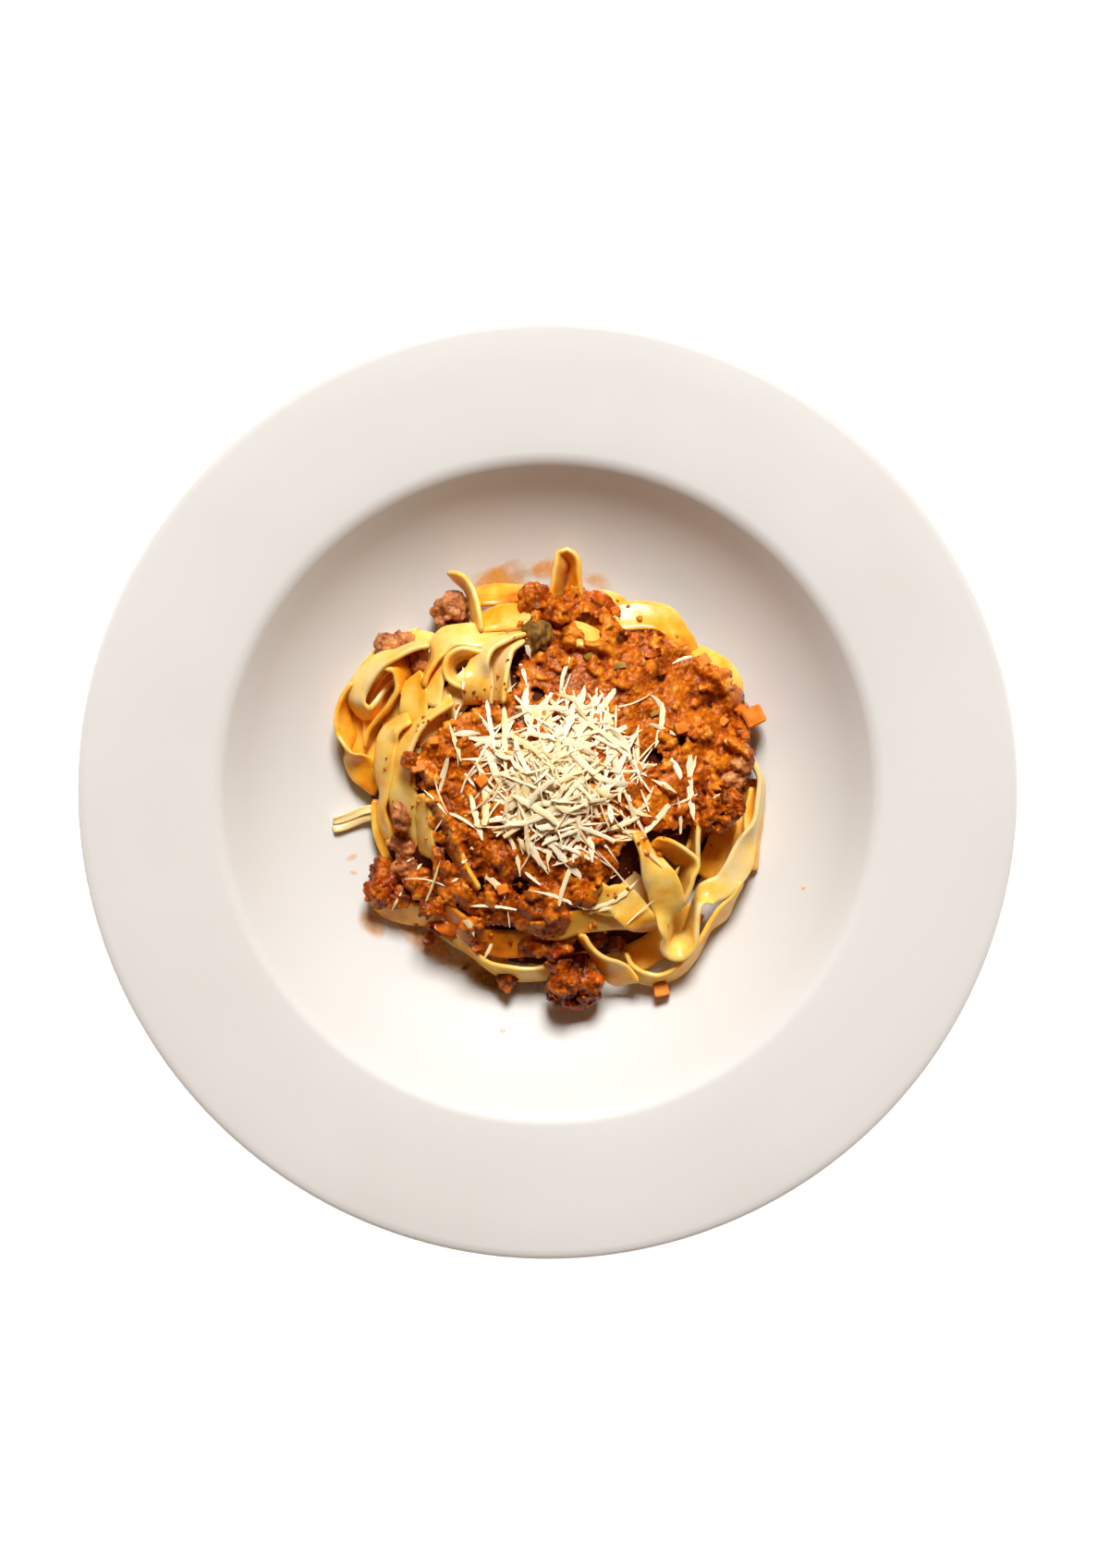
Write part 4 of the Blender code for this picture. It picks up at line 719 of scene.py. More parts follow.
sauce = {
    "middle": (5, 8), "reach": (54, 58, 50, 44, 52, 33, 26, 36, 44, 43, 54, 52, 51, 38, 32, 46), "step": 0.4,
    "thick": 1.6, "lumps": 700, "lumpSize": (1, 2.7), "grains": 11000, "grainSize": (0.35, 0.9),
    "dark": "#5e2106", "shade": "#9a4108", "body": "#c9660e", "oil": "#e0841c", "pale": "#ecaa4a",
    # crease: the painted shade colour that closed-in places are darkened to
    "tomato": "#ba3804", "creaseShade": "#6a2406", "deep": "#481a06", "corner": (-58, -52), "end": (68, 69),
    # the front tone is darker, for sauce in front of frontFrom: painted shade on the heap's side away from the light
    "tone": 0.5, "frontShadeTone": 0.38, "frontFrom": -12, "redShare": 0.05, "gloss": "#ffe4c4",
    # place in plan, radius and depth or height; bare patches have no height
    "holes": (
        (-3, 27.5, 1.9, 2.6), (48, 25, 2, 2.4), (40, 14, 2.2, 3), (31, 9, 2.2, 3), (53, 4, 2, 2.2),
        (20, -10, 2.2, 3), (-30, -14, 2.4, 4), (-37, -4, 2.2, 4), (-14, 16, 2.5, 4), (33, 33, 1.8, 3),
        (8, -37, 2.4, 4), (-8, -28, 2.2, 4), (44, -14, 2.4, 3), (22, 44, 1.8, 2.6),
    ),
    "bare": (
        (12.4, 45.4, 2.6), (9.3, 43, 1.7), (10.6, 49, 2.2), (14.5, 49.5, 1.2), (-27.5, -20, 2), (-20, -28, 1.6),
    ),
    "mounds": (
        (4, 3, 20, 2.6), (-36, 14, 5, 4), (-37, 5, 4, 3.5), (-30, 23, 5, 2.5), (1, 55, 7, 3.4),
        (16, 49, 3.6, 3.2), (28.5, 47.5, 4.4, 3.4), (34, 42, 5, 2.4), (2, 40, 5, 1.5), (50, 33, 6, 3),
        (44, 17, 5, 2.4), (55, 9, 5, 3), (-31, 12, 6, 2.5), (-33, 3, 5, 2), (24, 32, 6, 1.5), (-41, -17, 4, 3),
        (-37, -24, 4, 3), (0, -34, 6, 2.5), (-25, -31, 5, 2.5), (24, -18, 5, 2.5), (36, 2, 5, 2.5),
        (-14, -20, 6, 2), (12, -22, 6, 2.4),
    ),
}
brownedMince = {"dark": "#5c2a12", "shade": "#965028", "body": "#be7440", "oil": "#d69454", "pale": "#eabc82"}


def around(values, angle):
    # values in equal steps of a full turn, read smoothly at any angles
    count = len(values)
    table = [smoothValue([values[(k + j) % count] for j in (-1, 0, 1, 2)], 1, part / 8)
             for k in range(count) for part in range(8)]
    place = (np.asarray(angle) % (2 * np.pi)) / (2 * np.pi) * count * 8
    return np.interp(place, range(len(table) + 1), table + table[:1])


def sauceShare(x, y):
    # 0 at the sauce's middle, 1 at its edge
    dx, dy = np.asarray(x) - sauce["middle"][0], np.asarray(y) - sauce["middle"][1]
    return np.hypot(dx, dy) / around(sauce["reach"], np.arctan2(dy, dx))


def minceSauce(name, tones):
    # beef mince simmered in tomato: brown grains in an orange oily coat; painted shade darkens it to the crease colour
    # where it is closed in
    material, tree = startMaterial(name)
    fine = addNoise(tree, 1.1, 4.0, 0.65)
    total = addSum(tree, addNoise(tree, 6.0), addAttribute(tree, "tone"), 1.0, -0.55)
    total = addSum(tree, fine, total, 0.9, -0.45)
    steps = enumerate(("dark", "shade", "body", "oil", "pale"))
    colour = addRamp(tree, total, *((k / 4, tones[key]) for k, key in steps))
    tinted = addMix(tree, addAttribute(tree, "red"), colour, sauce["tomato"])
    depth = addSpan(tree, addAttribute(tree, "closed"), 0.25, 0.85)
    finishMaterial(tree, {
        "IOR": 1.42, "Specular IOR Level": 0.5, "Specular Tint": linear(sauce["gloss"]),
        **soft(0.12, (0.0010, 0.0005, 0.0002))}, {
        "Base Color": addMix(tree, depth, tinted, sauce["creaseShade"]), "Normal": addBump(tree, fine, 0.6, 0.0005),
        "Roughness": addSpan(tree, fine, 0.3, 0.7, 0.06, 0.3)})
    return material


def stamp(field, tones, reds, wobble, corner, spot, size, level, tone, red, draw):
    # an uneven dome in the height field; where it stands highest its tone takes over
    step = sauce["step"]
    span = int(size * 1.5 / step) + 1
    row, column = int((spot[1] - corner[1]) / step), int((spot[0] - corner[0]) / step)
    if not (span < row < field.shape[0] - span and span < column < field.shape[1] - span):
        return
    window = (slice(row - span, row + span + 1), slice(column - span, column + span + 1))
    dy, dx = np.mgrid[-span:span + 1, -span:span + 1] * step
    turn = draw.uniform(0, math.pi)
    a = (dx * math.cos(turn) + dy * math.sin(turn)) / (size * draw.uniform(1.0, 1.35))
    b = (dy * math.cos(turn) - dx * math.sin(turn)) / (size * draw.uniform(0.7, 1.0))
    away = (a * a + b * b) * (1 + 0.55 * wobble[window])
    dome = level + size * draw.uniform(0.75, 1.15) * np.sqrt(np.clip(1 - away, 0, 1))
    higher = (away < 1) & (dome > field[window])
    field[window] = np.where(higher, dome, field[window])
    tones[window] = np.where(higher, tone, tones[window])
    reds[window] = np.where(higher, red, reds[window])


def closedBlanket(name, top, bottom, mask, gridX, gridY, material):
    # a top and a bottom over the grid's chosen cells, joined by walls; returns the object and its top vertices
    cells = mask[:-1, :-1] & mask[1:, :-1] & mask[:-1, 1:] & mask[1:, 1:]
    for _ in range(6):
        a, b, c, d = cells[:-1, :-1].copy(), cells[1:, 1:].copy(), cells[1:, :-1].copy(), cells[:-1, 1:].copy()
        cells[1:, :-1] |= a & b & ~c & ~d
        cells[:-1, :-1] |= c & d & ~a & ~b
    used = np.zeros(mask.shape, dtype=bool)
    for rows in (slice(None, -1), slice(1, None)):
        for columns in (slice(None, -1), slice(1, None)):
            used[rows, columns] |= cells
    index = np.cumsum(used.ravel()).reshape(used.shape) - 1
    count = int(used.sum())
    i, j = np.nonzero(cells)
    quads = np.stack([index[i, j], index[i, j + 1], index[i + 1, j + 1], index[i + 1, j]], axis=1)
    edges = np.concatenate([quads[:, [k, (k + 1) % 4]] for k in range(4)])
    codes = edges[:, 0] * count + edges[:, 1]
    rim = edges[~np.isin(codes, edges[:, 1] * count + edges[:, 0])]
    walls = np.stack([rim[:, 1], rim[:, 0], rim[:, 0] + count, rim[:, 1] + count], axis=1)
    faces = np.concatenate([quads, quads[:, ::-1] + count, walls])
    points = np.concatenate([np.stack([gridX[used], gridY[used], z[used]], axis=1) for z in (top, bottom)])
    return makeMesh(name, points, faces.tolist(), material), used


def reducedSauceAndShade():
    # what has run down between the noodles: cooked-down tomato and oil, made dark and dull as painted shade for the
    # holes and gaps it shows through
    material, tree = startMaterial("reduced_sauce_and_hole_shade")
    finishMaterial(tree, {
        "Base Color": linear(sauce["deep"]), "Roughness": 0.7, "IOR": 1.42, "Specular IOR Level": 0.2})
    return material


def groundUnder(base, gridX, gridY, inside):
    # the noodles and the heap that the sauce lies on
    ground = np.full(gridX.shape, floorZ)
    for row, column in zip(*np.nonzero(inside > -6)):
        x, y = gridX[row, column], gridY[row, column]
        ground[row, column] = max(topAt(base, x, y, floorZ), heapZ(x, y) - 2.0)
    return blurred(ground, 2)


def sauceCoat(gridX, gridY, inside):
    # thickness with mounds and hollows, rounded at the edge
    coat = sauce["thick"] + 1.1 * cloud(gridX, gridY, 9.0, 3) + 0.5 * cloud(gridX, gridY, 3.5, 4)
    for x, y, radius, height in sauce["mounds"]:
        coat += height * np.exp(-((gridX - x) ** 2 + (gridY - y) ** 2) / (radius * 0.8) ** 2)
    coat *= np.sqrt(np.clip(inside / 2.2, 0, 1))
    for x, y, radius, depth in sauce["holes"]:
        coat -= depth * np.exp(-((gridX - x) ** 2 + (gridY - y) ** 2) / radius ** 2)
    coat[inside <= 0] = -1.0
    return coat


def stampLumps(coat, tones, reds, wobble, inside):
    # lumps first, then grains on them
    draw = random.Random(5)
    corner, step = sauce["corner"], sauce["step"]
    for kind, count, sizes in (("lump", sauce["lumps"], sauce["lumpSize"]),
                               ("grain", sauce["grains"], sauce["grainSize"])):
        start = coat.copy()
        for _ in range(count):
            x, y = draw.uniform(-54, 64), draw.uniform(-48, 66)
            row, column = int((y - corner[1]) / step), int((x - corner[0]) / step)
            if inside[row, column] < (-0.8 if kind == "grain" else 0.8):
                continue
            size = sizes[0] + (sizes[1] - sizes[0]) * draw.random() ** 1.6
            level = max(start[row, column], -0.4) - size * draw.uniform(-0.1 if kind == "lump" else 0.2, 0.7)
            # darker tone at the front: painted shade
            tone = sauce["tone"] if y > sauce["frontFrom"] else sauce["frontShadeTone"]
            tone = min(1.0, max(0.05, draw.gauss(tone, 0.12)))
            red = 0.6 if draw.random() < sauce["redShare"] else 0.0
            stamp(coat, tones, reds, wobble, corner, (x, y), size, level, tone, red, draw)


def makeSauce(material, base):
    corner, end, step = sauce["corner"], sauce["end"], sauce["step"]
    gridX, gridY = np.meshgrid(np.arange(corner[0], end[0], step), np.arange(corner[1], end[1], step))
    reach = around(sauce["reach"], np.arctan2(gridY - sauce["middle"][1], gridX - sauce["middle"][0]))
    ragged = 2.4 * cloud(gridX, gridY, 7.0, 1) + 1.3 * cloud(gridX, gridY, 2.6, 2)
    inside = (1 - sauceShare(gridX, gridY)) * reach + ragged - 0.6
    for x, y, radius in sauce["bare"]:
        inside = np.minimum(inside, np.hypot(gridX - x, gridY - y) - radius + ragged * 0.5)
    ground = groundUnder(base, gridX, gridY, inside)
    coat = sauceCoat(gridX, gridY, inside)
    tones = 0.42 + 0.2 * cloud(gridX, gridY, 5.0, 6)
    reds = np.zeros(gridX.shape)
    stampLumps(coat, tones, reds, cloud(gridX, gridY, 1.1, 7), inside)
    top = ground + coat + 0.12 * cloud(gridX, gridY, 0.9, 8)
    floor = np.vectorize(bowlZ)(gridX, gridY) + gap
    bottom = np.maximum(np.minimum(ground, top) - 1.0, floor)
    top = np.maximum(top, bottom + 0.3)
    obj, used = closedBlanket("mince_sauce", top, bottom, coat > 0.15, gridX, gridY, material)
    # raised parts get a lighter tone and hollows a darker one: painted light and painted shade
    raised = np.clip((top - blurred(top, 4)) / 1.6, -1, 1)
    count = int(used.sum())
    # how closed in each top vertex is: the material turns it into painted shade
    closed = shelter(obj, treeOf([obj]), 5.0, 9, 2, count)
    setNumbers(obj, "tone", np.tile(tones[used] + 0.34 * raised[used], 2))
    setNumbers(obj, "red", np.tile(reds[used], 2))
    setNumbers(obj, "closed", closed)
    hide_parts("meat_sauce")
    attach(obj, "root")
    print("sauce spread:", count * 4, "triangles, top", round(float(top[used].max()), 1))
    return obj


def icoShape(levels):
    form = bmesh.new()
    bmesh.ops.create_icosphere(form, subdivisions=levels, radius=1.0)
    points = np.array([v.co[:] for v in form.verts])
    faces = [tuple(v.index for v in f.verts) for f in form.faces]
    form.free()
    return points, faces


def addCrumbs(places, draw, points, faces):
    # uneven grains: squeezed, turned balls with a dented skin
    ball, ballFaces = icoShape(2)
    for x, y, z, size in places:
        start = len(points)
        turn = Matrix.Rotation(draw.uniform(0, 6.28), 3, Vector((draw.uniform(-1, 1), draw.uniform(-1, 1), 0.5)))
        squeeze = Vector((draw.uniform(0.8, 1.35), draw.uniform(0.7, 1.1), draw.uniform(0.6, 0.95)))
        shift = Vector((draw.uniform(0, 50), draw.uniform(0, 50), 0))
        for p in ball:
            v = Vector(p)
            v *= 1 + 0.6 * noise.noise(v * 1.5 + shift)
            v = turn @ Vector((v.x * squeeze.x, v.y * squeeze.y, v.z * squeeze.z))
            points.append(Vector((x, y, z)) + v * size)
        faces.extend(tuple(start + i for i in f) for f in ballFaces)


def fuseByVoxels(obj, size, scales):
    remesh = obj.modifiers.new("fuse", "REMESH")
    remesh.mode = "VOXEL"
    remesh.voxel_size = size * mm
    remesh.use_smooth_shade = True
    for k, (scale, strength) in enumerate(scales):
        texture = bpy.data.textures.new(f"{obj.name}_{k}", "CLOUDS")
        texture.noise_scale = scale * mm
        texture.noise_depth = 2
        push = obj.modifiers.new(f"grain{k}", "DISPLACE")
        push.texture = texture
        push.texture_coords = "LOCAL"
        push.strength = strength * mm
        push.mid_level = 0.5
    applyModifiers(obj)


clump = {
    "spacing": 2.4, "size": (1.0, 2.8), "voxel": 0.42, "skin": ((3.4, 1.5), (1.3, 0.8)),
    "tone": {"meat_clump_front": 0.32, "meat_clump_back": 0.58, "meat_clump_left": 0.55},
    "red": {"meat_clump_front": 0.5},
    "grow": {"meat_clump_back": 1.1, "meat_clump_left": 1.12, "meat_clump_front": 1.1},
    # how far a lump lies from its solid's middle, to come close to the glaze and noodles
    "lean": {"meat_clump_back": (1.3, -0.9, -2.3)},
}
brownLumps = ("near_tip", "strap_end", "low_left", "right_edge", "right_edge_low", "curl_inner")
# lumps of mince and sauce on the noodles: middle in plan, half sizes, tone and least height below it
lumps = {"near_tip": (-43, -8, 3, 4.2, 2.4, 0.5), "low_left": (-42, -22.5, 5.6, 5, 3, 0.5),
         "low_left_in": (-37, -28, 5.8, 5.2, 3, 0.4), "low_left_out": (-44.5, -32, 4.4, 4, 2.6, 0.38),
         "low_left_end": (-33.5, -35, 5, 3.8, 2.6, 0.3), "front_end": (-12, -56.4, 2.8, 3.4, 2.2, 0.3),
         "right_edge": (57.5, 8, 3.6, 4.4, 3, 0.45), "carrot_side": (57, 16.5, 3, 4, 2.6, 0.45),
         # the lumps at the heap's front have low tones: partly dark sauce, partly painted shade under the heap's front
         "front_bit": (-5, -46.5, 4.4, 2.6, 2, 0.2), "front_dark": (13, -44.5, 5.2, 3.2, 2.2, 0),
         "front_dark_right": (19.5, -45.5, 3.6, 2.8, 2, 0), "front_join": (3, -51.5, 4.6, 3.4, 2.4, 0.32),
         "front_join_right": (9, -51.8, 3.4, 3, 2.4, 0.25), "left_bit": (-40, 8, 2.2, 3, 1.6, 0.4),
         "back_left": (-3.6, 55.4, 5.8, 5.4, 3.6, 0.52, 27), "back_left_low": (2.6, 51.6, 5.2, 4, 3, 0.5, 27),
         "strap_end": (-42.5, -16, 4.8, 3.8, 2.6, 0.5, 16.5), "right_edge_low": (54.5, 3, 4.6, 4.2, 3, 0.5, 20),
         "front_red_low": (5, -57.5, 5.2, 4.2, 3.4, 0.28, 14), "front_red": (1.5, -46.6, 6.6, 3.8, 2.2, 0.3),
         "front_red_out": (12, -57, 5, 4.4, 3.6, 0.34, 15), "curl_inner": (-38, 37.4, 3.2, 5, 2.8, 0.45, 21),
         "front_left_bit": (-33, -41.5, 4.6, 2.8, 2.2, 0.15), "low_mid": (-22, -39.5, 4.4, 2.6, 2, 0.35)}


def mincePiece(name, node, centre, half, seed, material, tone, red=0.0):
    # grains packed over an egg-shaped core, fused
    draw = random.Random(seed)
    count = int(2.2 * (half[0] * half[1] + half[0] * half[2] + half[1] * half[2]) / clump["spacing"] ** 2) + 8
    places = [(centre[0], centre[1], centre[2], min(half) * 0.7)]
    for _ in range(count):
        z = draw.uniform(-0.8, 1)
        angle = draw.uniform(0, 6.28)
        flat = math.sqrt(1 - z * z)
        size = draw.uniform(*clump["size"])
        reach = [max(0.4, h - size * 0.95) for h in half]
        places.append((centre[0] + reach[0] * flat * math.cos(angle), centre[1] + reach[1] * flat * math.sin(angle),
                       centre[2] + reach[2] * z, size))
    points, faces = [], []
    addCrumbs(places, draw, points, faces)
    obj = makeMesh(name, points, faces, material)
    fuseByVoxels(obj, clump["voxel"], clump["skin"])
    for point in obj.data.vertices:
        lowest = (bowlZ(point.co.x / mm, point.co.y / mm) + gap * 0.6) * mm
        point.co.z = max(point.co.z, lowest)
    at = meshArrays(obj)
    # closed-in places are darkened in the material: painted shade
    setNumbers(obj, "closed", shelter(obj, treeOf([obj]), 4.0, 8, seed))
    setNumbers(obj, "tone", tone + 0.3 * cloud(at[:, 0], at[:, 1] + at[:, 2] * 0.7, 2.2, seed))
    setNumbers(obj, "red", np.clip(cloud(at[:, 0], at[:, 1], 3.5, seed + 1) * 2 - 1.0 + red, 0, 0.35 + red))
    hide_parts(node)
    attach(obj, "root")
    return obj


def makeClump(node, seed, material):
    low, high = (Vector(corner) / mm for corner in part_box(node))
    half = (high - low) / 2 * clump["grow"].get(node, 1.0)
    middle = (low + high) / 2 + Vector(clump["lean"].get(node, (0, 0, 0)))
    return mincePiece(node.replace("_clump", "") + "_lump", node, middle, half, seed, material,
                      clump["tone"].get(node, 0.4), clump["red"].get(node, 0.0))


def makeLumps(material, browned, base):
    made = []
    for seed, (name, (x, y, a, b, c, tone, *low)) in enumerate(lumps.items()):
        z = max(topAt(base, x, y, floorZ), bowlZ(x, y) + 1.0, *low) + c * 0.35
        made.append(mincePiece(f"{name}_crumb", "meat_sauce", (x, y, z), (a, b, c), 300 + seed,
                               browned if name in brownLumps else material, tone))
    print("lumps placed")
    return made


# single grains: how many, how far from the middle and past the sauce's edge, smallest size and what is added
stray = {"count": 120, "within": 60, "past": 0.22, "small": 0.3, "spread": 0.8}


def makeStrays(material, base):
    # single grains of mince and tomato on the noodles beside the sauce
    draw = random.Random(9)
    places = []
    while len(places) < stray["count"]:
        angle = draw.uniform(0, 2 * math.pi)
        share = 1.0 + stray["past"] * draw.random() ** 1.5
        reach = float(around(sauce["reach"], angle)) * share
        x, y = sauce["middle"][0] + reach * math.cos(angle), sauce["middle"][1] + reach * math.sin(angle)
        if math.hypot(x, y) > stray["within"]:
            continue
        size = stray["small"] + stray["spread"] * draw.random() ** 2
        places.append((x, y, topAt(base, x, y, bowlZ(x, y) + gap) + size * 0.25, size))
    points, faces = [], []
    addCrumbs(places, draw, points, faces)
    obj = makeMesh("mince_crumbs", points, faces, material)
    count = len(points)
    setNumbers(obj, "tone", np.repeat([draw.uniform(0.35, 0.8) for _ in places], count // len(places)))
    setNumbers(obj, "red", np.repeat([0.8 * (draw.random() < 0.12) for _ in places], count // len(places)))
    setNumbers(obj, "closed", np.full(count, 0.25))
    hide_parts("meat_sauce")
    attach(obj, "root")


mushroom = {"flesh": "#8c6226", "gills": "#482c10", "skin": "#a87838"}


def stewedMushroom():
    # brown mushroom stewed soft: dark gills between paler ribs, wet
    material, tree = startMaterial("stewed_mushroom")
    total = addSum(tree, addAttribute(tree, "rib"), addNoise(tree, 1.5, 3.0), 0.4, -0.25)
    total = addSum(tree, addNoise(tree, 4.0), total, 1.2, -0.55)
    colour = addRamp(tree, total, (0.1, mushroom["gills"]), (0.6, mushroom["flesh"]), (1.0, mushroom["skin"]))
    finishMaterial(tree, {
        "Roughness": 0.5, "IOR": 1.4, "Specular IOR Level": 0.25, **soft(0.1, (0.001, 0.0006, 0.0003))}, {
        "Base Color": colour})
    return material


def makeMushroom():
    # a folded piece of cap: ribs run along it
    low, high = (Vector(corner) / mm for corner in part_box("mushroom_piece"))
    centre, half = (low + high) / 2, (high - low) / 2
    ball, faces = icoShape(5)
    points, ribs = [], []
    for p in ball:
        v = Vector(p)
        across = math.atan2(v.x, v.z + 0.15)
        rib = 0.5 + 0.25 * math.sin(across * 9 + 1.2 * noise.noise(v * 1.5))
        shape = 0.98 + 0.26 * noise.noise(v * 2.3) + 0.05 * rib - 0.12 * math.exp(-(v.x - 0.25) ** 2 / 0.02)
        points.append(centre + Vector((v.x * half.x, v.y * half.y, v.z * half.z)) * shape)
        ribs.append(rib)
    obj = makeMesh("mushroom_cap", points, faces, stewedMushroom())
    setNumbers(obj, "rib", ribs)
    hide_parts("mushroom_piece")
    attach(obj, "root")
    return obj


cheese = {
    "middle": (2, 2.6), "farMiddle": (5.5, 3), "near": 240, "nearSpread": 10.4, "far": 160, "width": (0.5, 2.1),
    "thick": (0.14, 0.26), "length": (5, 18), "cell": 0.9, "ivory": "#ffefc8", "cream": "#ffe2a2",
    "rind": "#f9d284", "farReach": 25, "tone": 0.62,
    # shreds that lie apart: both ends in plan and how far the middle bows out
    "loose": (
        (-42.6, -26, -28, -28.8, 1.2), (-31, -20, -36.5, -35, 0.3), (-43.2, -30.5, -46.5, -36.5, 0),
        (-23.8, -38, -21.3, -43.5, 0.4), (-16, -44.5, -19.3, -51, 0.2), (-11.8, -34, -11, -40.8, 0),
        (-22.5, -34, -9, -35, 0.5), (-5.5, -29, 10, -34.5, 0.8), (8, -20, 3, -34, -0.6),
        (10.5, -35.5, 27, -26.5, -2.2), (12, -36, 19, -34.5, 0.3), (23, -39.5, 31.5, -32, 0.3),
        (41.5, 10, 42.5, -9, -0.6), (43.5, 10, 42, 3.5, 0), (36, 9, 39, 3, 0.3), (44, -1.5, 35, -5, 0.4),
        (35.5, -4.6, 27, -13.5, 0.4), (38, -2, 39, -13.5, 0.3), (48, -2.8, 50.2, -1.4, 0),
        (36.5, 37, 43, 39.5, 0.2), (-25.3, 25.5, -27.3, 16, -0.8), (-27.4, 17, -25.8, 6.5, 0.3),
        (-28.8, 19.5, -25, 8, 0.2), (-27, 16, -19.5, 16.2, 0.3), (-25, 8.7, -16, 8.5, 0),
        (-24, 4.5, -20.5, 0, 0), (-33, 3.8, -29, -7, -0.6), (-29.5, -6.5, -20.5, -11.5, 0.6),
        (-36, 0, -29, -7.5, 0.3), (-33, -12.5, -30, -8, 0), (-8, 37, -6, 30, 0.2), (-6, 42, -5, 38, 0),
        (6.3, 38.4, 3.6, 28, -0.5), (7, 34, 2, 24, 0.4), (14.5, 23.5, 31, 27.8, -1.8), (29.5, 28, 34, 23, 0.8),
        (33.8, 25.5, 31.5, 12, 0.7), (20, 29, 12, 20, 0.4), (-9, 31, -14, 26, 0),
        (-41.6, -21.4, -39.8, -20.4, 0), (-38.6, -23.8, -37.2, -22, 0), (-28, -27, -26, -26, 0),
        (-22.8, -18, -21.2, -16.6, 0), (-25, -21.4, -23.2, -20.4, 0), (18.2, -26, 20, -25, 0),
        (27, -17, 33.5, -22.5, 0.3), (-18, -25, -12, -31, 0.4), (30, 3, 37.5, -1, 0.3),
        (-20, 22, -15, 13.5, 0.3), (29.5, 19, 37.5, 16, 0.2),
    ),
}


def hardCheese():
    # aged cow's milk cheese off a box grater: opaque, ivory to cream, with a waxy sheen
    material, tree = startMaterial("grated_hard_cheese")
    fine = addNoise(tree, 0.8, 3.0)
    total = addSum(tree, fine, addAttribute(tree, "tone"), 0.5, -0.25)
    colour = addRamp(tree, total, (0.1, cheese["ivory"]), (0.55, cheese["cream"]), (1.0, cheese["rind"]))
    finishMaterial(tree, {"Roughness": 0.45, "IOR": 1.45}, {
        "Base Color": colour, "Normal": addBump(tree, fine, 0.3, 0.0002)})
    return material


def addShred(centre, direction, size, bend, curl, twist, draw, points, faces):
    # a flat strip with slanted, torn ends: length, width and thickness in size
    length, width, thick = size
    start = len(points)
    flat = direction.normalized()
    side = Vector((-flat.y, flat.x, 0)).normalized()
    up = flat.cross(side)
    count = max(5, int(length / 1.1))
    section = ((-1, 0.0), (-0.82, 0.9), (0.1, 1.0), (0.85, 0.8), (1, -0.1), (0.75, -1.0), (-0.1, -0.9), (-0.8, -1.0))
    slants = [draw.uniform(-0.9, 0.9), draw.uniform(-0.9, 0.9)]
    blunts = draw.uniform(0.03, 0.9), draw.uniform(0.03, 0.7)
    tapers = draw.uniform(1.6, 5.0), draw.uniform(1.6, 5.0)
    shift = draw.uniform(0, 90)
    for k in range(count + 1):
        t = k / count * 2 - 1
        taper = min(tapers[t > 0], count * 0.6)
        near = max(0.0, abs(t) - 1 + 2 * taper / count) * count / (2 * taper)
        wide = width / 2 * (1 - (1 - blunts[t > 0]) * near)
        turn = twist * t
        for u, v in section:
            ragged = 1 + 0.5 * noise.noise(Vector((t * length * 0.55, shift, 7.0 * (u > 0))))
            along = t * length / 2 + slants[t > 0] * near * u * wide
            a, b = u * wide * ragged, v * thick / 2 * (1 - 0.35 * near)
            points.append(centre + flat * along + side * (bend * (1 - t * t) + a * math.cos(turn) - b * math.sin(turn))
                          + up * (curl * t * t + a * math.sin(turn) + b * math.cos(turn)))
    n = len(section)
    for k in range(count):
        for s in range(n):
            a, b = start + k * n + s, start + k * n + (s + 1) % n
            faces.append((a, a + n, b + n, b))
    faces.append(tuple(start + s for s in range(n)))
    faces.append(tuple(start + count * n + s for s in reversed(range(n))))


def shredFalls(draw):
    # where each shred falls: middle in plan, heading, length and bend
    falls = []
    for x1, y1, x2, y2, bow in cheese["loose"]:
        falls.append(((x1 + x2) / 2, (y1 + y2) / 2, math.atan2(y2 - y1, x2 - x1), math.hypot(x2 - x1, y2 - y1), bow))
    midX, midY = cheese["farMiddle"]
    for _ in range(cheese["far"]):
        angle = draw.uniform(0, 2 * math.pi)
        far = draw.random() ** 0.6
        x = midX + cheese["farReach"] * far * math.cos(angle)
        y = midY + cheese["farReach"] * far * math.sin(angle)
        length = draw.uniform(*cheese["length"]) * (1 - 0.25 * far)
        falls.append((x, y, angle + draw.gauss(0, 0.8), length, draw.gauss(0, 0.05) * length))
    midX, midY = cheese["middle"]
    for _ in range(cheese["near"]):
        x, y = midX + draw.gauss(0, 1) * cheese["nearSpread"], midY + draw.gauss(0, 1) * cheese["nearSpread"]
        length = draw.uniform(*cheese["length"])
        falls.append((x, y, draw.uniform(0, math.pi), length, draw.gauss(0, 0.06) * length))
    return falls


def restingLine(samples, length):
    # height at the middle and rise to the end for which a shred lies lowest on most of what is under it
    ts, hs = np.array([s[0] for s in samples]), np.array([s[2] for s in samples])
    best = None
    for slope in np.linspace(-0.42, 0.42, 15) * length / 2:
        level = np.percentile(hs - slope * ts, 80)
        if best is None or level < best[0]:
            best = (level, slope)
    return best


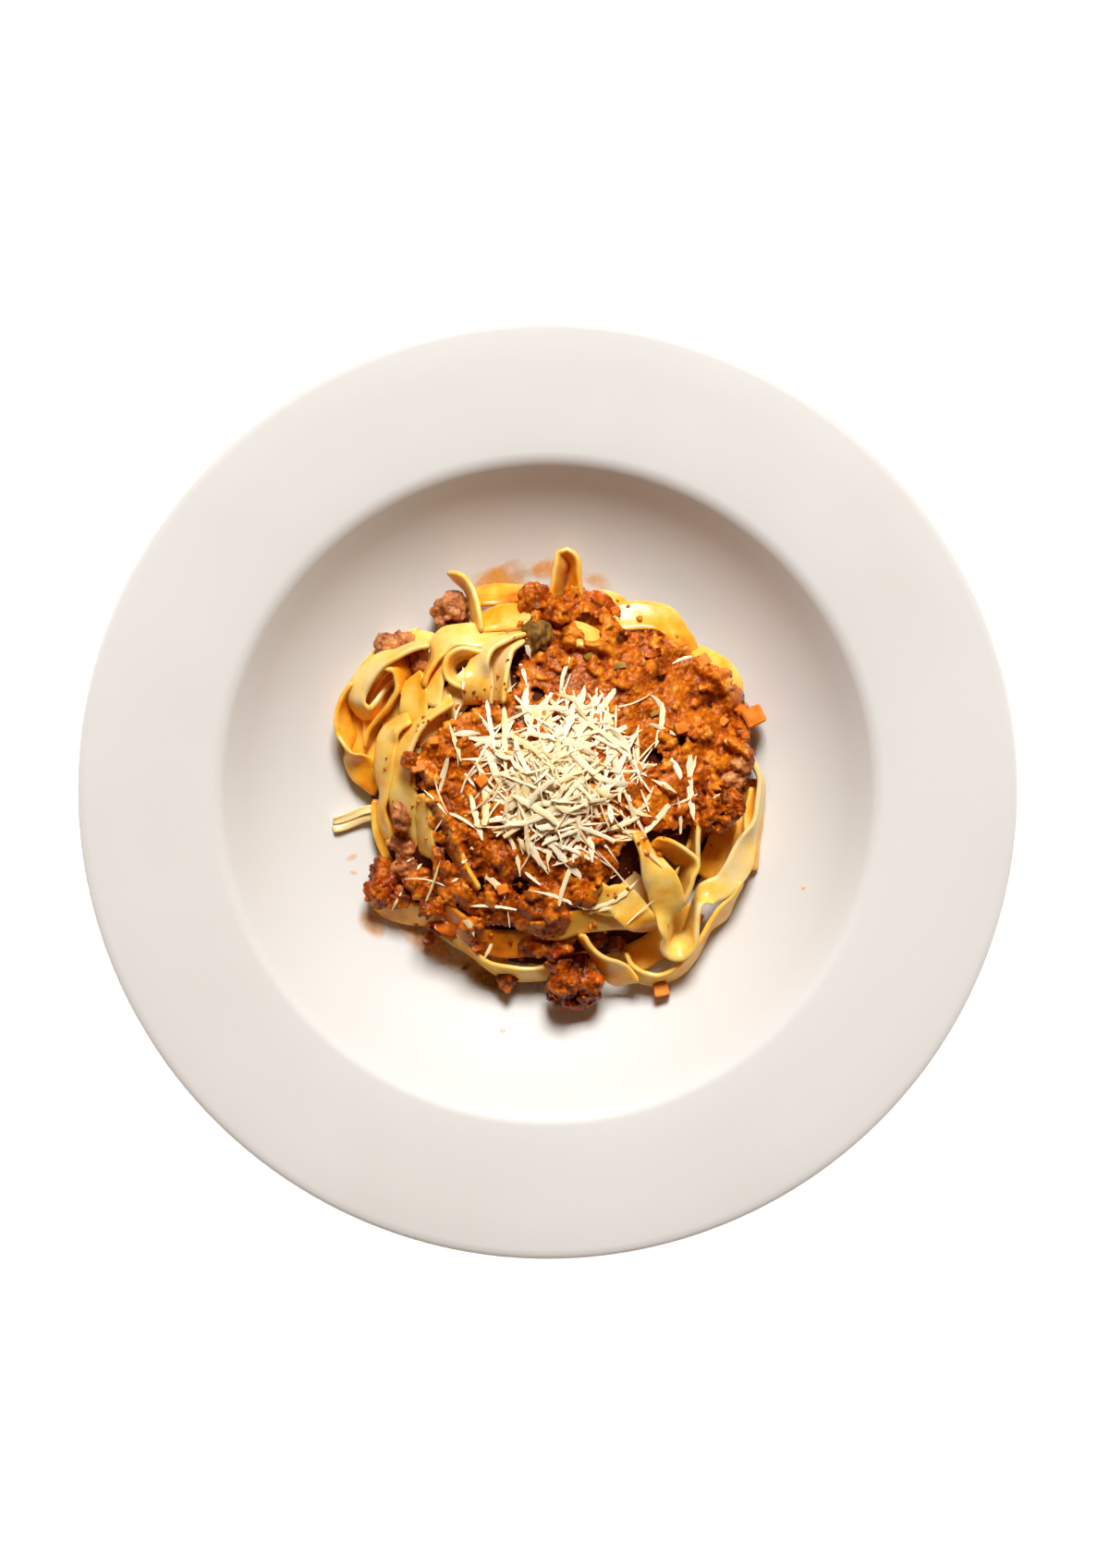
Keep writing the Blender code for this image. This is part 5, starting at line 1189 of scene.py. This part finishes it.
def makeCheese(ground):
    # shreds fall one after another; each comes to rest on what already lies there
    draw = random.Random(3)
    cell = cheese["cell"]
    heights = {}

    def groundAt(spot):
        key = (round(spot.x / cell), round(spot.y / cell))
        if key not in heights:
            heights[key] = topAt(ground, key[0] * cell, key[1] * cell, bowlZ(spot.x, spot.y) + gap)
        return key, heights[key]

    falls = shredFalls(draw)
    points, faces, tones = [], [], []
    limit = cheeseHigh[2] / mm - 0.1
    for x, y, heading, length, bend in falls:
        flat = Vector((math.cos(heading), math.sin(heading), 0))
        side = Vector((-flat.y, flat.x, 0))
        width = cheese["width"][0] + (cheese["width"][1] - cheese["width"][0]) * draw.random() ** 1.5
        thick = draw.uniform(*cheese["thick"])
        width = min(width, length * 0.5)
        samples = []
        count = max(4, int(length / 1.2))
        for k in range(count + 1):
            t = k / count * 2 - 1
            for offset in (-width * 0.3, width * 0.3):
                spot = Vector((x, y, 0)) + flat * (t * length / 2) + side * (bend * (0.67 - t * t) + offset)
                samples.append((t, *groundAt(spot)))
        middle, slope = restingLine(samples, length)
        if middle + abs(slope) + width * 0.5 > limit:
            continue
        direction = (flat * (length / 2) + Vector((0, 0, slope))).normalized()
        before = len(points)
        addShred(Vector((x, y, middle + thick * 0.5)) - side * bend * 0.33, direction, (length, width, thick), bend,
                 draw.gauss(0.0, 0.26), draw.gauss(0, 0.2), draw, points, faces)
        tones += [draw.random() ** 1.5 * cheese["tone"]] * (len(points) - before)
        for t, key, height in samples:
            heights[key] = max(height, middle + slope * t + thick * 0.8)
    points = [Vector((p.x, p.y, min(p.z, limit))) for p in points]
    obj = makeMesh("cheese_shreds", points, faces, hardCheese())
    obj.data.set_sharp_from_angle(angle=math.radians(40))
    setNumbers(obj, "tone", tones)
    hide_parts("grated_cheese")
    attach(obj, "root")
    print("cheese grated:", len(falls), "shreds,", len(faces) * 2, "triangles, top",
          round(max(p.z for p in points), 1))


carrot = {"flesh": "#f6983a", "edge": "#ea7a1e", "sunk": {"carrot_loose": 0.95}}
# diced vegetables on the sauce: place in plan, side, turn in degrees
dice = {
    "carrot": (
        (39, 18, 3.8, 20), (46, 38, 4.2, 35), (-37.5, 6.5, 4, 10), (-19, 2.5, 3.8, 40), (-13, -29, 3.4, 15),
        (12, -52.5, 4.2, 25), (26, 6, 3, 30), (-33, 14, 2.8, 5), (52, 20, 2.8, 50), (20, 53, 2.6, 20),
    ),
    "celery": ((12, 39, 3.2, 30), (21, 36, 3.6, 10), (-8, 22, 2.6, 60), (31, 22, 2.6, 25), (-36, -30, 2.4, 5)),
    "skin": (
        (16, 56.5, 3.6, -25), (19.5, 53.5, 2.8, -50), (-30, -41, 3.6, -20), (-35, -44, 3.2, 60),
        (-20, -46, 2.6, 20), (31, 40, 2.6, 15),
    ),
}
vegetableColours = {"stewed_carrot": (carrot["edge"], carrot["flesh"]), "stewed_celery": ("#8c6a1c", "#b08a34"),
                    "tomato_skin": ("#a8400c", "#d8701e")}


def stewedVegetable(name, edge, flesh):
    # vegetable softened in the sauce: clear flesh under a film of oil
    material, tree = startMaterial(name)
    patches = addNoise(tree, 3.0, 3.0)
    finishMaterial(tree, {
        "Roughness": 0.3, "IOR": 1.42, "Coat Weight": 0.2, "Coat Roughness": 0.12,
        **soft(0.15, (0.001, 0.0006, 0.0003))}, {
        "Base Color": addRamp(tree, patches, (0.35, edge), (0.6, flesh)),
        "Normal": addBump(tree, patches, 0.3, 0.0004)})
    return material


def addDie(centre, sizes, turn, seed, points, faces):
    # a knife-cut block with softened corners
    form = bmesh.new()
    bmesh.ops.create_cube(form, size=1.0)
    draw = random.Random(seed)
    spin = Matrix.Rotation(math.radians(turn), 3, "Z") @ Matrix.Rotation(draw.uniform(-0.25, 0.25), 3, "X")
    for vert in form.verts:
        vert.co = spin @ Vector([c * size * draw.uniform(0.88, 1.0) for c, size in zip(vert.co, sizes)])
    bmesh.ops.bevel(form, geom=form.edges, offset=min(sizes) * 0.07, segments=2, affect="EDGES")
    bmesh.ops.triangulate(form, faces=form.faces)
    bmesh.ops.subdivide_edges(form, edges=form.edges, cuts=1)
    form.verts.index_update()
    start = len(points)
    points.extend(centre + v.co * (1 + 0.05 * noise.noise(v.co * 0.9 + Vector((seed, 0, 0)))) for v in form.verts)
    faces.extend(tuple(start + v.index for v in f.verts) for f in form.faces)
    form.free()


def addSkin(x, y, size, turn, base, points, faces):
    # a curled flap of tomato skin, closed and thin
    count = 9
    grid = []
    for i in range(count):
        for j in range(count):
            u, v = i / (count - 1) * 2 - 1, j / (count - 1) * 2 - 1
            radius = size * (1 + 0.25 * noise.noise(Vector((u * 2, v * 2, x))))
            a, b = u * math.sqrt(1 - v * v / 2) * radius, v * math.sqrt(1 - u * u / 2) * radius * 0.55
            c = math.cos(math.radians(turn))
            d = math.sin(math.radians(turn))
            grid.append((x + a * c - b * d, y + a * d + b * c, 1.1 * (u * u - 0.2) + 0.8 * v * u))
    level = max(topAt(base, px, py, bowlZ(px, py) + gap) for px, py, _ in grid[::4]) - 0.4
    start = len(points)
    for side in (0.22, -0.22):
        points.extend(Vector((px, py, max(level + pz, bowlZ(px, py) + 0.6) + side)) for px, py, pz in grid)
    n = count * count
    for i in range(count - 1):
        for j in range(count - 1):
            a = start + i * count + j
            faces.append((a, a + count, a + count + 1, a + 1))
            faces.append((a + n, a + 1 + n, a + count + 1 + n, a + count + n))
    edge = [i * count for i in range(count)] + [(count - 1) * count + j for j in range(1, count)]
    edge += [i * count + count - 1 for i in range(count - 2, -1, -1)] + list(range(count - 2, 0, -1))
    for a, b in zip(edge, edge[1:] + edge[:1]):
        faces.append((start + b, start + a, start + a + n, start + b + n))


def makeVegetables(base):
    orange, green, red = (stewedVegetable(name, *edgeAndFlesh) for name, edgeAndFlesh in vegetableColours.items())
    for kind, material in (("carrot", orange), ("celery", green)):
        points, faces = [], []
        for k, (x, y, side, turn) in enumerate(dice[kind]):
            z = topAt(base, x, y, bowlZ(x, y) + gap) + side * 0.08
            z = max(z, bowlZ(x, y) + gap + side * 0.55)
            flat = 0.85 if kind == "carrot" else 0.55
            addDie(Vector((x, y, z)), (side, side * flat, side * 0.8), turn, k + len(kind), points, faces)
        obj = makeMesh(f"{kind}_dice", points, faces, material)
        obj.data.set_sharp_from_angle(angle=math.radians(28))
        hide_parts("meat_sauce")
        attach(obj, "root")
    points, faces = [], []
    for x, y, size, turn in dice["skin"]:
        addSkin(x, y, size, turn, base, points, faces)
    obj = makeMesh("tomato_skins", points, faces, red)
    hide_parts("meat_sauce")
    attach(obj, "root")
    for seed, (node, turn) in enumerate((("carrot_loose", 12), ("carrot_edge", 25))):
        low, high = (Vector(corner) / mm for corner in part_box(node))
        side = high.z - low.z
        points, faces = [], []
        sunk = Vector((0, 0, carrot["sunk"].get(node, 0.0)))
        addDie((low + high) / 2 - sunk, (side * 0.98, side * 0.9, side * 0.98), turn, 60 + seed, points, faces)
        obj = makeMesh(node.replace("carrot", "diced_carrot"), points, faces, orange)
        obj.data.set_sharp_from_angle(angle=math.radians(28))
        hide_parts(node)
        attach(obj, "root")
    print("vegetables placed")


# oil and thin sauce on the glaze: middle in plan, half sizes, turn, thickness, how much it hides
films = {"smear": (-14, 62, 13, 5.6, 10, 0.25, 0.75), "smear_end": (-1, 66, 9, 3.4, 15, 0.2, 0.5),
         "stainAndShading_top": (14, 62, 7, 3.6, -25, 0.2, 0.25), "stainAndShading_left": (-57.5, 23, 3.5, 8, 10, 0.2, 0.25),
         "drip_left": (-58.5, -20.5, 2.6, 1.3, 20, 0.3, 0.35), "drip_low": (-58, -25, 1.8, 1, -15, 0.3, 0.35),
         # the seep films at the lower left and right tint the glaze beside the noodles: partly oil, partly painted
         # shade under them
         "stainAndShading_low": (-52, -40, 6, 4, -40, 0.2, 0.3), "seep_shade_left": (-37, -44, 15, 5, -38, 0.3, 0.5),
         "seep_front": (-20, -53, 12, 4.6, -14, 0.3, 0.45), "seep_shade_right": (26, -48, 14, 6, 22, 0.3, 0.6),
         "drop_front": (-13.5, -72, 0.9, 0.7, 0, 0.3, 0.5), "drop_right": (75.8, -29.4, 0.8, 0.6, 0, 0.3, 0.5)}
pool = (-13.5, -57.5, 13.5, 4.8, -6, 0.9, 0.75)
oil = {"colour": "#fbb040", "rough": 0.3, "poolColour": "#a5702e", "poolRough": 0.08}


def oilFilm(name, colour, cover, rough):
    # orange oil thinned with cooking water, clear enough to show the glaze
    material, tree = startMaterial(name)
    share = addSpan(tree, addNoise(tree, 3.2, 3.0, 0.6), 0.3, 0.7, 0.3, 1.0)
    some = addNode(tree, "ShaderNodeMath", {"operation": "MULTIPLY"}, None, {
        0: share, 1: addAttribute(tree, "thick")})
    alpha = addNode(tree, "ShaderNodeMath", {"operation": "MULTIPLY", "use_clamp": True}, {1: cover}, {
        0: some.outputs[0]})
    finishMaterial(tree, {"Base Color": linear(colour), "Roughness": rough, "IOR": 1.46}, {"Alpha": alpha.outputs[0]})
    return material


def makeFilm(name, place, material, seed):
    x, y, a, b, turn, thick, _ = place
    step = min(0.35, b / 5)
    reach = max(a, b) * 1.5
    gridX, gridY = np.meshgrid(np.arange(x - reach, x + reach, step), np.arange(y - reach, y + reach, step))
    c, d = math.cos(math.radians(turn)), math.sin(math.radians(turn))
    u = ((gridX - x) * c + (gridY - y) * d) / a
    v = ((gridY - y) * c - (gridX - x) * d) / b
    inside = 1 - np.hypot(u, v) + 0.3 * cloud(gridX, gridY, 4.5, seed) + 0.06 * cloud(gridX, gridY, 1.2, seed + 1)
    floor = np.vectorize(bowlZ)(gridX, gridY)
    edge = np.sqrt(np.clip(inside * 2.0, 0, 1))
    obj, used = closedBlanket(name, floor + 0.08 + thick * edge, floor + 0.04, inside > 0.02, gridX, gridY, material)
    setNumbers(obj, "thick", np.tile(np.clip(inside[used] * 1.7, 0, 1) ** 1.5, 2))
    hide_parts("meat_sauce")
    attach(obj, "root")


def makeFilms():
    for seed, (name, place) in enumerate(films.items()):
        film = oilFilm(f"sauce_oil_{name}", oil["colour"], place[6], oil["rough"])
        makeFilm(f"oil_{name}", place, film, 400 + 2 * seed)
    makeFilm("oil_pool", pool, oilFilm("cooking_water_and_oil", oil["poolColour"], pool[6], oil["poolRough"]), 440)
    print("oil spread")


# places and sizes in metres
studio = {"floor": "#ffffff", "world": 0.105, "worldTint": "#ffb272", "key": 532.0, "keyTint": "#fcfdff",
          "keySize": 1.9, "keyPlace": (0.35, 4.0, 4.47), "floorReach": 9.0, "floorGlow": 0.9,
          "glowTint": "#ffffff", "lens": 64.13, "cameraPlace": (0.002, 0.0015, 0.846)}


def makeStudio():
    mesh = bpy.data.meshes.new("studio_floor")
    far = studio["floorReach"]
    mesh.from_pydata([(-far, -far, 0), (far, -far, 0), (far, far, 0), (-far, far, 0)], [], [(0, 1, 2, 3)])
    floor = bpy.data.objects.new("studio_floor", mesh)
    bpy.context.scene.collection.objects.link(floor)
    material, tree = startMaterial("white_paper_sweep")
    finishMaterial(tree, {
        "Base Color": linear(studio["floor"]), "Roughness": 0.9, "Emission Color": linear(studio["glowTint"]),
        "Emission Strength": studio["floorGlow"]})
    mesh.materials.append(material)
    world = bpy.data.worlds.new("studio_world")
    bpy.context.scene.world = world
    world.use_nodes = True
    glow = world.node_tree.nodes["Background"].inputs
    glow["Color"].default_value = linear(studio["worldTint"])
    glow["Strength"].default_value = studio["world"]
    light = bpy.data.lights.new("key_light", "AREA")
    light.size = studio["keySize"]
    light.energy = studio["key"]
    light.color = linear(studio["keyTint"])[:3]
    lamp = bpy.data.objects.new("key_light", light)
    bpy.context.scene.collection.objects.link(lamp)
    lamp.location = studio["keyPlace"]
    lamp.rotation_euler = (-Vector(studio["keyPlace"])).to_track_quat("-Z", "Y").to_euler()
    camera = bpy.data.cameras.new("camera")
    camera.lens = studio["lens"]
    camera.sensor_width = 36.0
    holder = bpy.data.objects.new("camera", camera)
    bpy.context.scene.collection.objects.link(holder)
    holder.location = studio["cameraPlace"]
    bpy.context.scene.camera = holder
    bpy.context.scene.view_settings.view_transform = "Standard"
    print("studio set")


makeStudio()
makeBowl()
strands = makeNoodles()
mince = minceSauce("mince_in_tomato_oil", sauce)
browned = minceSauce("browned_mince", brownedMince)
core = makeCore(reducedSauceAndShade())
spread = makeSauce(mince, treeOf([core, *strands]))
stainAndShadeNoodles(strands, [core, *strands, spread])
clumps = [makeClump(f"meat_clump_{name}", 40 + k, browned if name in ("back", "left") else mince)
          for k, name in enumerate(("back", "left", "low_left", "front", "right"))]
clumps.append(makeMushroom())
resting = treeOf([core, *strands, spread, *clumps])
clumps += makeLumps(mince, browned, resting)
makeStrays(mince, resting)
makeVegetables(resting)
makeCheese(treeOf([core, *strands, spread, *clumps]))
makeFilms()

bpy.context.view_layer.update()
